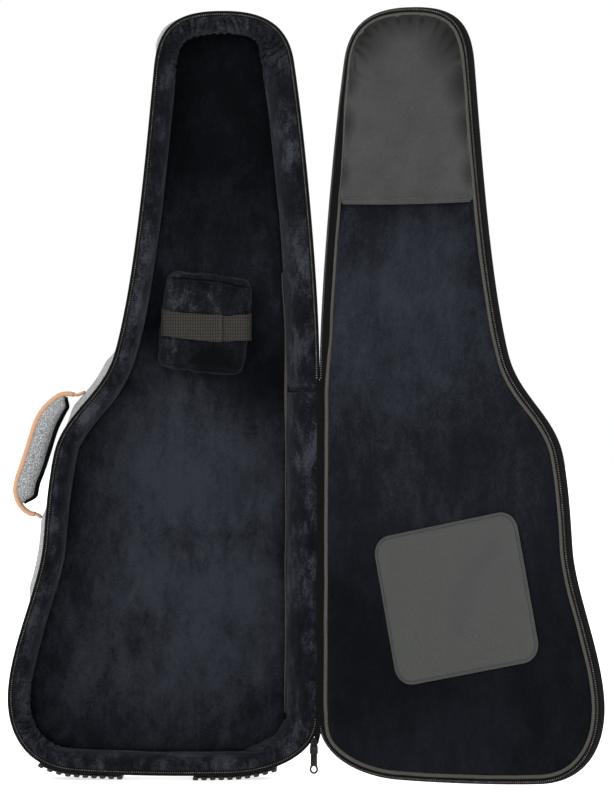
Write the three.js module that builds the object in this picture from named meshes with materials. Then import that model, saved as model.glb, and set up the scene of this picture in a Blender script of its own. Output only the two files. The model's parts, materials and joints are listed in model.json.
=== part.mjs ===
// Padded gig bag for an electric guitar, standing on its ribbed feet and open like a book.
// Everything is built in the hinge frame: x across (the body lies at negative x, the hinge line is
// x = 0), y into the depth of the body (the rims meet at y = 0), z along the hinge line.
// The lid is built shut, on the negative y side of the rim, and then swung open.
import * as THREE from "three";

// ---- driving dimensions, mm ----
const DEPTH = 98; // rim to the outside of the back
const PADDING = 25; // side wall, outer skin to plush
const FLOOR = 76; // depth of the plush floor below the rim
// where the far side of the wall bellies out at mid depth: [from, to, by] with heights along z
const BELLIES = [[1000, 1070, 14], [508, 566, 11], [262, 352, 9]];
const BELLY_FADE = 26; // and how quickly each one fades out along z
const TAUT = 2; // belly where the wall is taut
const LEAN = 24; // how far the hinge-side wall slopes in from rim to back
const EDGE = 0.6; // clearance from the theoretical outline to the first layer
const SKIN = 1.6; // laminated outer fabric
const PLUSH = 3.2; // pile lining
const GAP = 0.4; // between flat layers that lie on each other
const PLAY = 2; // between curved layers
const LID = 22; // lid thickness
const NARROW = 0.4; // the rim's edging is this much narrower along the hinge
const LID_OPEN = THREE.MathUtils.degToRad(151);
const HINGE_LEAN = THREE.MathUtils.degToRad(0.2); // the open bag leans this much to the right
const HINGE_LOW = 84; // ends of the sewn hinge along z
const HINGE_HIGH = 552;
const MID = DEPTH / 2;

// ---- the plan outline: hinge, neck, head, neck, waist, upper bout, lower bout, base, corner ----
// each row is a cubic arc: two handles, the end point, and how many stations it is cut into;
// the hinge bows by a fifth of a millimetre, so that no three stations are in one line
const OUTLINE_START = [0, HINGE_LOW];
const OUTLINE_ARCS = [
  [[0.3, 240], [0.3, 396], [0, HINGE_HIGH], 4],
  [[0, 672], [-22, 891], [-36, 980], 7],
  [[-42, 1030], [-72, 1054], [-134, 1053], 6],
  [[-196, 1053], [-221, 1034], [-227, 980], 6],
  [[-236, 889], [-250, 690], [-281, 580], 7],
  [[-298, 524], [-352, 500], [-363, 444], 6],
  [[-372, 400], [-374, 357], [-377, 322], 3],
  [[-382, 262], [-424, 180], [-425, 112], 5],
  [[-425, 52], [-392, 12], [-330, 9], 7],
  [[-262, 4.8], [-176, 4.6], [-122, 6.2], 5],
  [[-60, 8.2], [0, 35], [0, HINGE_LOW], 7],
];

const smooth = THREE.MathUtils.smoothstep;

const bellyAt = (z) => BELLIES.reduce((sum, [from, to, by]) => sum
  + (by - TAUT) * smooth(z, from - BELLY_FADE, from) * (1 - smooth(z, to, to + BELLY_FADE)), TAUT);

// Each station of the outline: its place, the direction inward, how far the wall there leans in and
// bulges out, and the width of the rim's edging as a share of the full width.
function cutOutline() {
  const stations = [];
  let from = new THREE.Vector2(...OUTLINE_START);
  OUTLINE_ARCS.forEach(([first, second, end, count], arc) => {
    const to = new THREE.Vector2(...end);
    const curve = new THREE.CubicBezierCurve(
      from, new THREE.Vector2(...first), new THREE.Vector2(...second), to);
    for (let k = 0; k < count; k += 1) {
      const at = curve.getPoint(k / count);
      const along = curve.getTangent(Math.max(k / count, 0.001));
      const inward = new THREE.Vector2(-along.y, along.x);
      const lean = smooth(-inward.x, 0.25, 0.95);
      const flat = smooth(inward.y, 0.2, 0.8) * 0.85 + smooth(-inward.y, 0.6, 1) * 0.6;
      const bulge = bellyAt(at.y) * (1 - lean) * (1 - flat);
      const edging = 1 - NARROW * lean * smooth(at.y, 60, 110) * (1 - smooth(at.y, 530, 610));
      stations.push({ at, inward, arc, lean, bulge, edging });
    }
    from = to;
  });
  return stations;
}

const STATIONS = cutOutline();
const CORNER_ARC = OUTLINE_ARCS.length - 1;
// the zip runs over every arc but the hinge, and ends on the first station of the hinge line
const ZIP_STATIONS = [...STATIONS.filter((s) => s.arc > 0), STATIONS[0]];
const HINGE_STATIONS = [...STATIONS.filter((s) => s.arc === 0), STATIONS.find((s) => s.arc === 1)];

// ---- solids ----
const signedArea = (loop) => THREE.ShapeUtils.area(loop);

// A closed solid through loops of equal size. ends holds the first and last loop as plane
// contours, in which those faces are filled; without it the run of loops joins up with itself.
function loft(loops, ends) {
  const size = loops[0].length;
  const index = [];
  const runs = ends ? loops.length - 1 : loops.length;
  for (let i = 0; i < runs; i += 1) {
    const here = i * size;
    const next = ((i + 1) % loops.length) * size;
    for (let j = 0; j < size; j += 1) {
      const k = (j + 1) % size;
      index.push(here + j, here + k, next + k, here + j, next + k, next + j);
    }
  }
  (ends ?? []).forEach((contour, end) => {
    const first = end * (loops.length - 1) * size;
    const turn = Math.sign(signedArea(contour)) * (end === 1 ? 1 : -1);
    THREE.ShapeUtils.triangulateShape(contour, []).forEach((face) => {
      const same = Math.sign(signedArea(face.map((f) => contour[f]))) === turn;
      const order = same ? face : [face[0], face[2], face[1]];
      index.push(...order.map((f) => first + f));
    });
  });
  const geometry = new THREE.BufferGeometry();
  const positions = loops.flat().flatMap((v) => v.toArray());
  geometry.setAttribute("position", new THREE.Float32BufferAttribute(positions, 3));
  geometry.setIndex(faceOutward(positions, index));
  geometry.computeVertexNormals();
  return geometry;
}

function faceOutward(positions, index) {
  const corner = (i) => new THREE.Vector3().fromArray(positions, index[i] * 3);
  let volume = 0;
  for (let i = 0; i < index.length; i += 3) {
    volume += corner(i).dot(corner(i + 1).cross(corner(i + 2)));
  }
  if (volume < 0) {
    for (let i = 0; i < index.length; i += 3) {
      [index[i + 1], index[i + 2]] = [index[i + 2], index[i + 1]];
    }
  }
  return index;
}

// a stack of loops that each lie level in plan
function stack(loops) {
  return loft(loops, [loops[0], loops.at(-1)].map((loop) =>
    loop.map((v) => new THREE.Vector2(v.x, v.z))));
}

// sections [[a, b], ...] placed along a run by place(index, a, b)
function sweep(sections, place) {
  return loft(
    sections.map((section, i) => section.map(([a, b]) => place(i, a, b))),
    [sections[0], sections.at(-1)].map((section) => section.map((p) => new THREE.Vector2(...p))));
}

// the point d inside the outline (negative is outside) at depth y
function inside(station, d, y) {
  const { at, inward } = station;
  return new THREE.Vector3(at.x + inward.x * d, y, at.y + inward.y * d);
}

// a plate whose edge steps through levels, each a pair [d, y] for a station
function plate(levels) {
  const count = levels(STATIONS[0]).length;
  const loops = Array.from({ length: count }, (_, row) =>
    STATIONS.map((s) => inside(s, ...levels(s)[row])));
  return stack(loops);
}

// one section [[d, y], ...] carried all round the outline
function ring(section) {
  return loft(STATIONS.map((s) => section(s).map(([d, y]) => inside(s, d, y))));
}

// one section carried along a run of stations, with end faces
function band(stations, section) {
  return sweep(stations.map(section), (i, d, y) => inside(stations[i], d, y));
}

// a flat outline in plan, [[x, z], ...], between depths, narrowed by scale towards its middle
function slab(outline, levels) {
  const middle = outline.reduce((sum, p) => sum.add(new THREE.Vector2(...p)), new THREE.Vector2());
  middle.divideScalar(outline.length);
  const loops = levels.map(([y, scale = 1]) => outline.map(([x, z]) => new THREE.Vector3(
    middle.x + (x - middle.x) * scale, y, middle.y + (z - middle.y) * scale)));
  return stack(loops);
}

function circle(d, y, radius, sides = 6) {
  return Array.from({ length: sides }, (_, k) => {
    const turn = (2 * Math.PI * k) / sides;
    return [d + radius * Math.cos(turn), y + radius * Math.sin(turn)];
  });
}

function box4(low, high, top, bottom) {
  return [[low, top], [high, top], [high, bottom], [low, bottom]];
}

// a rounded rectangle in plan, turned by an angle about its middle
function roundedOutline(middle, width, height, radius, turn, steps = 3) {
  const points = [];
  [[1, 1], [-1, 1], [-1, -1], [1, -1]].forEach(([sx, sz], quarter) => {
    for (let k = 0; k <= steps; k += 1) {
      const angle = (Math.PI / 2) * (quarter + k / steps);
      const u = sx * (width / 2 - radius) + radius * Math.cos(angle);
      const v = sz * (height / 2 - radius) + radius * Math.sin(angle);
      points.push([
        middle[0] + u * Math.cos(turn) - v * Math.sin(turn),
        middle[1] + u * Math.sin(turn) + v * Math.cos(turn),
      ]);
    }
  });
  return points;
}

// ---- materials ----
function finish(color, roughness, metalness = 0) {
  return new THREE.MeshStandardMaterial({ color, roughness, metalness });
}

const heather = finish(0x8f9294, 0.95);
const plush = finish(0x171a24, 0.9);
const foam = finish(0x3a3b3d, 0.95);
const tape = finish(0x14151a, 0.8);
const teeth = finish(0x2c2b2b, 0.45);
const trim = finish(0x55534d, 0.85);
const nylon = finish(0x4a4c4b, 0.75);
const webbing = finish(0x5c5a54, 0.85);
const leather = finish(0xcf9669, 0.6);
const rubber = finish(0x1b1b1c, 0.7);
const blackMetal = finish(0x1d1a1a, 0.35, 0.9);
const plastic = finish(0x18191a, 0.45);

function piece(name, geometry, material) {
  const mesh = new THREE.Mesh(geometry, material);
  mesh.name = name;
  return mesh;
}

// ---- body ----
const outerAt = (s, y) =>
  EDGE + s.lean * LEAN * (y / DEPTH) - s.bulge * Math.sin((Math.PI * y) / DEPTH);
const innerAt = (s, y) => PADDING + s.lean * LEAN * (y / DEPTH);

const RIM = 5.2; // where the skin starts, under the zip tape
const BACK_ROUND = 90; // where the side starts to turn into the back
const WALL_DEPTHS = [RIM, 28, 52, 74, BACK_ROUND];

function sideWall() {
  const turnIn = (s) => outerAt(s, DEPTH);
  return ring((s) => [
    ...WALL_DEPTHS.map((y) => [outerAt(s, y), y]),
    [turnIn(s) + 5, 95.4],
    [turnIn(s) + 6, 94.2],
    ...WALL_DEPTHS.map((y) => [outerAt(s, y) + SKIN, y]).reverse(),
  ]);
}

function wallFoam() {
  const depths = [RIM + GAP, 28, 52, FLOOR + PLUSH];
  return ring((s) => [
    ...depths.map((y) => [outerAt(s, y) + SKIN + 2 * PLAY, y]),
    [innerAt(s, FLOOR) - PLUSH - PLAY, FLOOR + PLUSH],
    [innerAt(s, 10) - PLUSH - PLAY, 12],
    [innerAt(s, 6) - 7.5, 8],
  ]);
}

function wallLining() {
  return ring((s) => [
    [EDGE + 8 * s.edging, 2.6],
    [innerAt(s, 3) - 6, 3],
    [innerAt(s, 9), 9.4],
    [innerAt(s, 40), 40],
    [innerAt(s, FLOOR), FLOOR + PLUSH],
    [innerAt(s, FLOOR) - PLUSH, FLOOR + PLUSH],
    [innerAt(s, 40) - PLUSH, 40],
    [innerAt(s, 10) - PLUSH, 10.6],
    [innerAt(s, 6) - 6.2, 6.4],
    [EDGE + 8 * s.edging, 5],
  ]);
}

const BACK_FOAM = [FLOOR + PLUSH + GAP, 95.6];

function backFoam() {
  const [front, back] = BACK_FOAM;
  const clear = SKIN + PLAY;
  return plate((s) => [
    [outerAt(s, front) + clear, front],
    [outerAt(s, 88) + clear, 87],
    [outerAt(s, DEPTH) + 7.6, 93.6],
    [outerAt(s, DEPTH) + 9, back],
  ]);
}

const backPanel = () => plate((s) => [
  [outerAt(s, DEPTH) + 8.6, BACK_FOAM[1] + GAP],
  [outerAt(s, DEPTH) + 8.6, DEPTH],
]);
const backPiping = () => ring((s) => circle(outerAt(s, DEPTH) + 6.5, 97.6, 1.6));
const floorLining = () => plate((s) => [
  [innerAt(s, FLOOR) + 0.6, FLOOR],
  [innerAt(s, FLOOR) + 0.6, FLOOR + PLUSH - 0.2],
]);

// the cord piping in the seam between floor and hinge-side wall
const SEAM = [...STATIONS.filter((s) => s.arc < 2 && s.at.y < 700)];
const floorPiping = () => band(SEAM, (s) => circle(innerAt(s, FLOOR - 2) + 2.4, FLOOR - 2.1, 1.6));

// a plush pad that fills the corner below the hinge
const CORNER = STATIONS.filter((s) => s.arc === CORNER_ARC).slice(2);
const cornerPad = () => band(CORNER, (s) => [
  [innerAt(s, 14) + PLAY, 14],
  [innerAt(s, 24) + 8, 24],
  [innerAt(s, 58) + 8, 58],
  [innerAt(s, 70) + PLAY, 70],
]);

const bodyTape = () => ring((s) => box4(EDGE + 0.2, EDGE + 7.6 * s.edging, 3.2, 4.8));
const bodyChain = () => band(ZIP_STATIONS, () => box4(EDGE - 0.2, EDGE + 3.8, GAP, 2.8));
const hingeGusset = () =>
  band(HINGE_STATIONS.slice(1, -1), () => box4(EDGE + 0.2, EDGE + 4, GAP, 2.8));

// ---- neck pillow and its strap ----
const PILLOW = { middle: [-158, 626], width: 126, height: 140, tilt: -0.1, front: 34.5 };
const STRAP = { width: 39, top: 31.2, thick: 1.4, overlap: -134, drop: -5 };

function neckPillow() {
  const { middle, width, height, tilt, front } = PILLOW;
  return slab(roundedOutline(middle, width, height, 14, tilt),
    [[FLOOR - GAP, 0.95], [FLOOR - 9, 1], [front + 9, 1], [front, 0.93]]);
}

// a webbing end that lies on the pillow, between two x positions
function strapPart(from, to, y) {
  const drop = (x) => PILLOW.middle[1] + STRAP.drop + (x - PILLOW.middle[0]) * PILLOW.tilt * 0.5;
  const half = STRAP.width / 2;
  return slab([
    [from, drop(from) - half], [to, drop(to) - half], [to, drop(to) + half], [from, drop(from) + half],
  ], [[y], [y + STRAP.thick]]);
}

const STRAP_LEFT = PILLOW.middle[0] - PILLOW.width / 2 + 6;
const STRAP_RIGHT = PILLOW.middle[0] + PILLOW.width / 2 - 6;
const neckStrap = () => strapPart(STRAP_LEFT, STRAP.overlap, STRAP.top);
const neckTab = () => strapPart(STRAP.overlap - 22, STRAP_RIGHT, STRAP.top + STRAP.thick + GAP);

// ---- ribbed rubber feet along the base ----
const RIB = { pitch: 11.8, radius: 3.9, drop: 7.6, from: 10, to: 90 };
const RIB_PROFILE = [[-0.95, 0.45], [-0.7, 0.85], [-0.3, 1], [0.3, 1], [0.7, 0.85], [0.95, 0.45]];
const BASE_CURVE = new THREE.CatmullRomCurve3(
  STATIONS.filter((s) => s.arc >= 8).map((s) => new THREE.Vector3(s.at.x, 0, s.at.y)));
const BASE_POINTS = BASE_CURVE.getPoints(400);

// the outline's lowest edge at x, and its outward normal there
function baseAt(x) {
  const k = BASE_POINTS.findIndex((p) => p.x > x);
  const before = BASE_POINTS[k - 1];
  const after = BASE_POINTS[k];
  const along = new THREE.Vector2(after.x - before.x, after.z - before.z).normalize();
  const z = before.z + ((x - before.x) / (after.x - before.x)) * (after.z - before.z);
  return { at: new THREE.Vector2(x, z), out: new THREE.Vector2(along.y, -along.x) };
}

function footStrip(firstX, count) {
  const top = 2.9;
  const web = 4.3;
  const upper = [];
  const lower = [];
  for (let k = 0; k < count; k += 1) {
    const x = firstX + k * RIB.pitch;
    const { at, out } = baseAt(x);
    const along = new THREE.Vector2(-out.y, out.x);
    const place = (u, v) => [at.x + along.x * u + out.x * v, at.y + along.y * u + out.y * v];
    upper.push(place(0, top));
    lower.push(place(-RIB.radius, web));
    RIB_PROFILE.forEach(([u, v]) => lower.push(place(u * RIB.radius, web + v * (RIB.drop - web))));
    lower.push(place(RIB.radius, web));
  }
  return slab([...upper.reverse(), ...lower], [[RIB.from], [RIB.to]]);
}

// ---- side handle ----
// centre line of the leather band in plan, from the upper anchor to the lower
const HANDLE_PATH = [
  [-338, 527], [-346, 528], [-357, 526], [-372, 515], [-383, 502], [-391, 486], [-400, 457], [-409, 429],
  [-415, 413], [-418, 394], [-414, 379], [-407, 369], [-398, 363], [-391, 362],
];
const BAND = { width: 38, thick: 5 };
const GRIP = { radial: 27.5, width: 36, from: 0.14, to: 0.86, ends: 0.13 };
const HANDLE_CURVE = new THREE.CatmullRomCurve3(
  HANDLE_PATH.map(([x, z]) => new THREE.Vector3(x, MID, z)));

// a frame on the handle: the point, and the direction towards the bag
function handleAt(t) {
  const at = HANDLE_CURVE.getPointAt(t);
  const along = HANDLE_CURVE.getTangentAt(t);
  return { at, inward: new THREE.Vector3(-along.z, 0, along.x) };
}

function alongHandle(from, to, count, section) {
  const steps = Array.from({ length: count + 1 }, (_, k) => k / count);
  const frames = steps.map((u) => handleAt(from + (to - from) * u));
  return sweep(steps.map(section), (i, r, y) =>
    frames[i].at.clone().addScaledVector(frames[i].inward, r).setY(MID + y));
}

const handleBand = () => alongHandle(0, 1, 24, () =>
  box4(-BAND.thick / 2, BAND.thick / 2, -BAND.width / 2, BAND.width / 2));

// The grip is a straight padded bar inside the band: every section of it points the same way,
// square to the line between the handle's ends.
const GRIP_AXIS = new THREE.Vector3(
  HANDLE_PATH[0][0] - HANDLE_PATH.at(-1)[0], 0, HANDLE_PATH[0][1] - HANDLE_PATH.at(-1)[1]).normalize();
const GRIP_INWARD = new THREE.Vector3(GRIP_AXIS.z, 0, -GRIP_AXIS.x);
const UNDER = { thick: 3, inset: 12 }; // black webbing on the finger side of the grip
const FLATTEST = 0.4; // limits how far the bar stands off where the band turns away from it

// one section: how far it stands off the band's centre line, its depth and its half width
function grip(t, band) {
  const nearEnd = Math.min(t, 1 - t) / GRIP.ends;
  const fullness = smooth(nearEnd, -0.35, 1);
  const off = (BAND.thick / 2 + GAP) / Math.max(FLATTEST, band.inward.dot(GRIP_INWARD));
  return { off, reach: GRIP.radial * fullness, half: (GRIP.width / 2) * (0.8 + 0.2 * fullness) };
}

function gripSweep(count, section) {
  const steps = Array.from({ length: count + 1 }, (_, k) => k / count);
  const bands = steps.map((u) => handleAt(GRIP.from + (GRIP.to - GRIP.from) * u));
  const sections = steps.map((u, k) => section(grip(u, bands[k])));
  return sweep(sections, (i, r, y) =>
    bands[i].at.clone().addScaledVector(GRIP_INWARD, r).setY(MID + y));
}

const handleGrip = () => gripSweep(14, ({ off, reach, half }) => [
  [off, 4 - half], [off, half - 4], [off + reach * 0.35, half], [off + reach * 0.75, half - 3],
  [off + reach, half - 11], [off + reach, 11 - half], [off + reach * 0.75, 3 - half],
  [off + reach * 0.35, -half],
]);

const gripUnderside = () => gripSweep(14, ({ off, reach, half }) => {
  const low = off + reach + GAP;
  return box4(low, low + UNDER.thick, UNDER.inset - half, half - UNDER.inset);
});

// sewn patches on the side wall where the handle ends
function handleAnchor(stationIndex) {
  const middle = STATIONS[stationIndex];
  const run = [STATIONS[stationIndex - 1], middle, STATIONS[stationIndex + 1]];
  return band(run, (s) => [
    [outerAt(s, MID - 18) - GAP, MID - 18],
    [outerAt(s, MID) - GAP, MID],
    [outerAt(s, MID + 18) - GAP, MID + 18],
    [outerAt(s, MID + 18) - 2.6, MID + 18],
    [outerAt(s, MID) - 2.6, MID],
    [outerAt(s, MID - 18) - 2.6, MID - 18],
  ]);
}

// the index of the station nearest to a point in plan
function nearest(x, z) {
  const spot = new THREE.Vector2(x, z);
  const away = STATIONS.map((s) => s.at.distanceTo(spot));
  return away.indexOf(Math.min(...away));
}

// ---- zip slider and its puller, below the hinge ----
const SLIDER = { x: -3, low: 36, high: 54, half: 5 };

function zipSlider() {
  const { x, low, high, half } = SLIDER;
  return slab([
    [x - half, low], [x + half, low], [x + half, low + 9], [x + 3, high], [x - 3, high], [x - half, low + 9],
  ], [[-4.6, 0.85], [-3.4, 1], [3.4, 1], [4.6, 0.85]]);
}

const PULLER = { y: -8.4, thick: 2, pivot: 42, length: 34 };

function zipPuller() {
  const { y, thick, pivot, length } = PULLER;
  const shape = new THREE.Shape();
  const end = pivot - length;
  const x = SLIDER.x;
  shape.moveTo(x - 2.6, pivot + 3);
  shape.lineTo(x - 3.4, end + 9);
  shape.absarc(x, end + 5.3, 5.3, Math.PI * 0.86, Math.PI * 2.14, false);
  shape.lineTo(x + 2.6, pivot + 3);
  const hole = new THREE.Path();
  hole.absellipse(x, end + 5.6, 3.1, 3.8, 0, Math.PI * 2, true);
  shape.holes.push(hole);
  const geometry = new THREE.ExtrudeGeometry(
    shape, { depth: thick, bevelEnabled: false, curveSegments: 8 });
  return geometry.rotateX(Math.PI / 2).translate(0, y + thick / 2, 0);
}

// ---- lid, built shut: its outer face is at y = -LID ----
function lidShell() {
  return plate(() => [
    [EDGE + 9, -LID], [EDGE + 2.6, -20.4], [EDGE, -16], [EDGE, -RIM],
    [EDGE + SKIN, -RIM], [EDGE + SKIN, -15.4], [EDGE + 3.8, -18.8], [EDGE + 9.4, -20.4],
  ]);
}

const GUSSET = 12.2; // how far the black edging reaches in from the rim
const lidFoam = () => plate(() => [
  [EDGE + SKIN + GAP, -6], [EDGE + SKIN + GAP, -15], [EDGE + 4.6, -18.2], [EDGE + 9.8, -LID + SKIN + GAP],
]);
const lidTape = () => ring((s) => box4(EDGE + 0.2, EDGE + 7.6 * s.edging, -4.8, -3.2));
const lidChain = () => band(ZIP_STATIONS, () => box4(EDGE - 0.2, EDGE + 3.8, -2.8, -GAP));
const lidGusset = () => ring((s) => box4(
  EDGE + 8 * s.edging, EDGE + GUSSET * s.edging, -5.6, -3.4));
const lidPiping = () => ring((s) => circle(EDGE + GUSSET * s.edging + 2.2, -4, 1.6));
const lidInset = (s) => EDGE + GUSSET * s.edging + 4.4;
const lidLining = () => plate((s) => [[lidInset(s), -5.6], [lidInset(s) + 1.5, -2.4]]);

// the part of the lid lining's outline above a level hem
const HEM = 789;
function headstockPanel() {
  const loop = STATIONS.map((s) => inside(s, lidInset(s) + 2.4, 0));
  const upper = loop.filter((v) => v.z > HEM + 4).map((v) => [v.x, v.z]);
  const hemStart = [upper[0][0] + 1, HEM];
  const hemEnd = [upper.at(-1)[0] - 2, HEM];
  return slab([hemStart, ...upper, hemEnd], [[-2], [-0.9]]);
}

const PATCH = { middle: [-211, 253], width: 220, height: 204, radius: 25, turn: -0.2 };
const bridgePatch = () => slab(
  roundedOutline(PATCH.middle, PATCH.width, PATCH.height, PATCH.radius, PATCH.turn, 4),
  [[-2], [-0.9]]);

// ---- accessory pocket on the outside of the lid ----
const POCKET = { middle: [-205, 205], width: 290, height: 250, deep: 17 };
const ZIP_LINE = POCKET.middle[1] + POCKET.height / 2 - 24;

function accessoryPocket() {
  return slab(roundedOutline(POCKET.middle, POCKET.width, POCKET.height, 40, 0, 4), [
    [-LID - GAP, 1], [-LID - POCKET.deep * 0.6, 0.99], [-LID - POCKET.deep, 0.93],
  ]);
}

const POCKET_FACE = -LID - POCKET.deep;
const pocketChain = () => slab([
  [POCKET.middle[0] - 112, ZIP_LINE - 8], [POCKET.middle[0] + 112, ZIP_LINE - 8],
  [POCKET.middle[0] + 112, ZIP_LINE + 8], [POCKET.middle[0] - 112, ZIP_LINE + 8],
], [[POCKET_FACE - GAP], [POCKET_FACE - 2]]);
const POCKET_SLIDER_X = POCKET.middle[0] + 100;
const pocketSlider = () => slab(
  roundedOutline([POCKET_SLIDER_X, ZIP_LINE], 14, 9, 2, 0, 1),
  [[POCKET_FACE - 2.4, 1], [POCKET_FACE - 4.4, 1], [POCKET_FACE - 5.2, 0.8]]);
const pocketPuller = () => slab(
  roundedOutline([POCKET_SLIDER_X, ZIP_LINE - 14], 7, 32, 3, 0, 2),
  [[POCKET_FACE - 7.6], [POCKET_FACE - 9.2]]);

// ---- carrying straps and haul loop on the back ----
const BACK_STRAP = { thick: 11, width: 62, top: 700, low: 300 };
const BACK_FACE = DEPTH + 0.6;

function shoulderStrap(topX, lowX) {
  const half = BACK_STRAP.width / 2;
  const outline = [];
  const steps = 8;
  const middle = (t) => topX + (lowX - topX) * (3 * t * t - 2 * t * t * t);
  const height = (t) => BACK_STRAP.top + (BACK_STRAP.low - BACK_STRAP.top) * t;
  for (let k = 0; k <= steps; k += 1) {
    const t = k / steps;
    outline.push([middle(t) - half * (1 - 0.35 * t), height(t)]);
  }
  for (let k = steps; k >= 0; k -= 1) {
    const t = k / steps;
    outline.push([middle(t) + half * (1 - 0.35 * t), height(t)]);
  }
  return stack([[0, 2.5], [3, 0], [8, 0], [BACK_STRAP.thick, 5]].map(([lift, shrink]) =>
    shrinkLoop(outline, shrink).map(([x, z]) => new THREE.Vector3(x, BACK_FACE + 1.4 + lift, z))));
}

// moves each point of a strap outline sideways and endways towards its own middle
function shrinkLoop(outline, by) {
  const xs = outline.length / 2;
  return outline.map(([x, z], i) => {
    const side = i < xs ? 1 : -1;
    const end = i === 0 || i === outline.length - 1 ? by : 0;
    const foot = i === xs - 1 || i === xs ? -by : 0;
    return [x + side * by, z - end - foot];
  });
}

function webbingRun(from, to, width) {
  const half = width / 2;
  return slab([
    [from[0] - half, from[1]], [from[0] + half, from[1]], [to[0] + half, to[1]], [to[0] - half, to[1]],
  ], [[BACK_FACE], [BACK_FACE + 1.4]]);
}

function ladderBuckle(x, z) {
  const outline = roundedOutline([x, z], 36, 30, 5, 0, 2);
  return slab(outline, [[BACK_FACE + 1.8, 0.96], [BACK_FACE + 6, 1], [BACK_FACE + 9, 0.9]]);
}

const STRAPS = [
  { side: "left", topX: -176, lowX: -268, foot: -318 },
  { side: "right", topX: -94, lowX: -112, foot: -96 },
];
const HAUL = { x: -134, z: 905, span: 90, drop: 46, width: 24 };

function haulLoop() {
  const path = new THREE.CatmullRomCurve3([
    [-1, 0], [-0.98, -0.5], [-0.8, -0.88], [-0.4, -1], [0, -1.02],
    [0.4, -1], [0.8, -0.88], [0.98, -0.5], [1, 0],
  ].map(([u, v]) => new THREE.Vector3(HAUL.x + (u * HAUL.span) / 2, 0, HAUL.z + v * HAUL.drop)));
  const count = 16;
  const frames = path.getPoints(count).map((at, k) => {
    const along = path.getTangent(k / count);
    return { at, out: new THREE.Vector3(-along.z, 0, along.x) };
  });
  const half = HAUL.width / 2;
  return sweep(frames.map(() => box4(-half, half, 3, 6)), (i, u, y) =>
    frames[i].at.clone().addScaledVector(frames[i].out, u).setY(BACK_FACE + y));
}

const haulPatch = () => slab(
  roundedOutline([HAUL.x, HAUL.z + 16], HAUL.span + 34, 26, 4, 0, 2), [[BACK_FACE], [BACK_FACE + 2.4]]);

// ---- assembly ----
const body = new THREE.Group();
body.add(
  piece("back_panel", backPanel(), heather),
  piece("side_wall", sideWall(), heather),
  piece("back_piping", backPiping(), trim),
  piece("back_foam", backFoam(), foam),
  piece("wall_foam", wallFoam(), foam),
  piece("floor_lining", floorLining(), plush),
  piece("wall_lining", wallLining(), plush),
  piece("floor_piping", floorPiping(), trim),
  piece("corner_pad", cornerPad(), plush),
  piece("body_zip_tape", bodyTape(), tape),
  piece("body_zip_chain", bodyChain(), teeth),
  piece("hinge_gusset", hingeGusset(), tape),
  piece("neck_pillow", neckPillow(), plush),
  piece("foot_strip_left", footStrip(-378, 10), rubber),
  piece("foot_strip_right", footStrip(-168, 10), rubber),
  piece("handle_anchor_upper", handleAnchor(nearest(-318, 524)), leather),
  piece("handle_anchor_lower", handleAnchor(nearest(-375, 357)), leather),
  piece("zip_slider", zipSlider(), blackMetal),
  piece("haul_patch", haulPatch(), webbing),
);
STRAPS.forEach(({ side, topX, lowX, foot }) => {
  body.add(
    piece(`shoulder_strap_${side}`, shoulderStrap(topX, lowX), heather),
    piece(`strap_buckle_${side}`, ladderBuckle(lowX, BACK_STRAP.low - 24), plastic),
    piece(`strap_webbing_${side}`, webbingRun([lowX, BACK_STRAP.low - 12], [foot, 70], 25), webbing),
  );
});

const handle = new THREE.Group();
handle.add(
  piece("handle_band", handleBand(), leather),
  piece("handle_grip", handleGrip(), heather),
  piece("handle_underside", gripUnderside(), tape),
);

const fittings = new THREE.Group();
fittings.add(
  piece("neck_strap", neckStrap(), webbing),
  piece("neck_strap_tab", neckTab(), webbing),
  piece("zip_puller", zipPuller(), blackMetal),
  piece("haul_loop", haulLoop(), webbing),
);

const lid = new THREE.Group();
lid.add(
  piece("lid_shell", lidShell(), heather),
  piece("lid_foam", lidFoam(), foam),
  piece("lid_zip_tape", lidTape(), tape),
  piece("lid_zip_chain", lidChain(), teeth),
  piece("lid_gusset", lidGusset(), tape),
  piece("lid_piping", lidPiping(), trim),
  piece("lid_lining", lidLining(), plush),
  piece("headstock_panel", headstockPanel(), nylon),
  piece("bridge_patch", bridgePatch(), nylon),
  piece("accessory_pocket", accessoryPocket(), heather),
  piece("pocket_zip_chain", pocketChain(), teeth),
  piece("pocket_slider", pocketSlider(), blackMetal),
  piece("pocket_puller", pocketPuller(), blackMetal),
);
lid.rotation.z = LID_OPEN;

const open = new THREE.Group();
open.add(body, handle, fittings, lid);
open.rotation.y = HINGE_LEAN;

// the origin is the middle of the footprint, on the ground
const bounds = new THREE.Box3().setFromObject(open, true);
const middle = bounds.getCenter(new THREE.Vector3());
open.position.set(-middle.x, -middle.y, -bounds.min.z);

const gigBag = new THREE.Group();
gigBag.add(open);

export default gigBag;
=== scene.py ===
"""A padded guitar gig bag, standing open like a book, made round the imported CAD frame.

Shapes are worked out in the hinge frame, in millimetres: x across (the body lies at negative x and the
hinge line is x = 0), y into the depth of the body (the rims meet at y = 0), z along the hinge line. The
lid is shaped shut, at negative y, and place() swings it open by the angle that the frame's joint gives.
"""
import json
import math

import bmesh
import bpy
import numpy as np
from mathutils import Matrix, Vector, geometry, kdtree, noise


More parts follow.
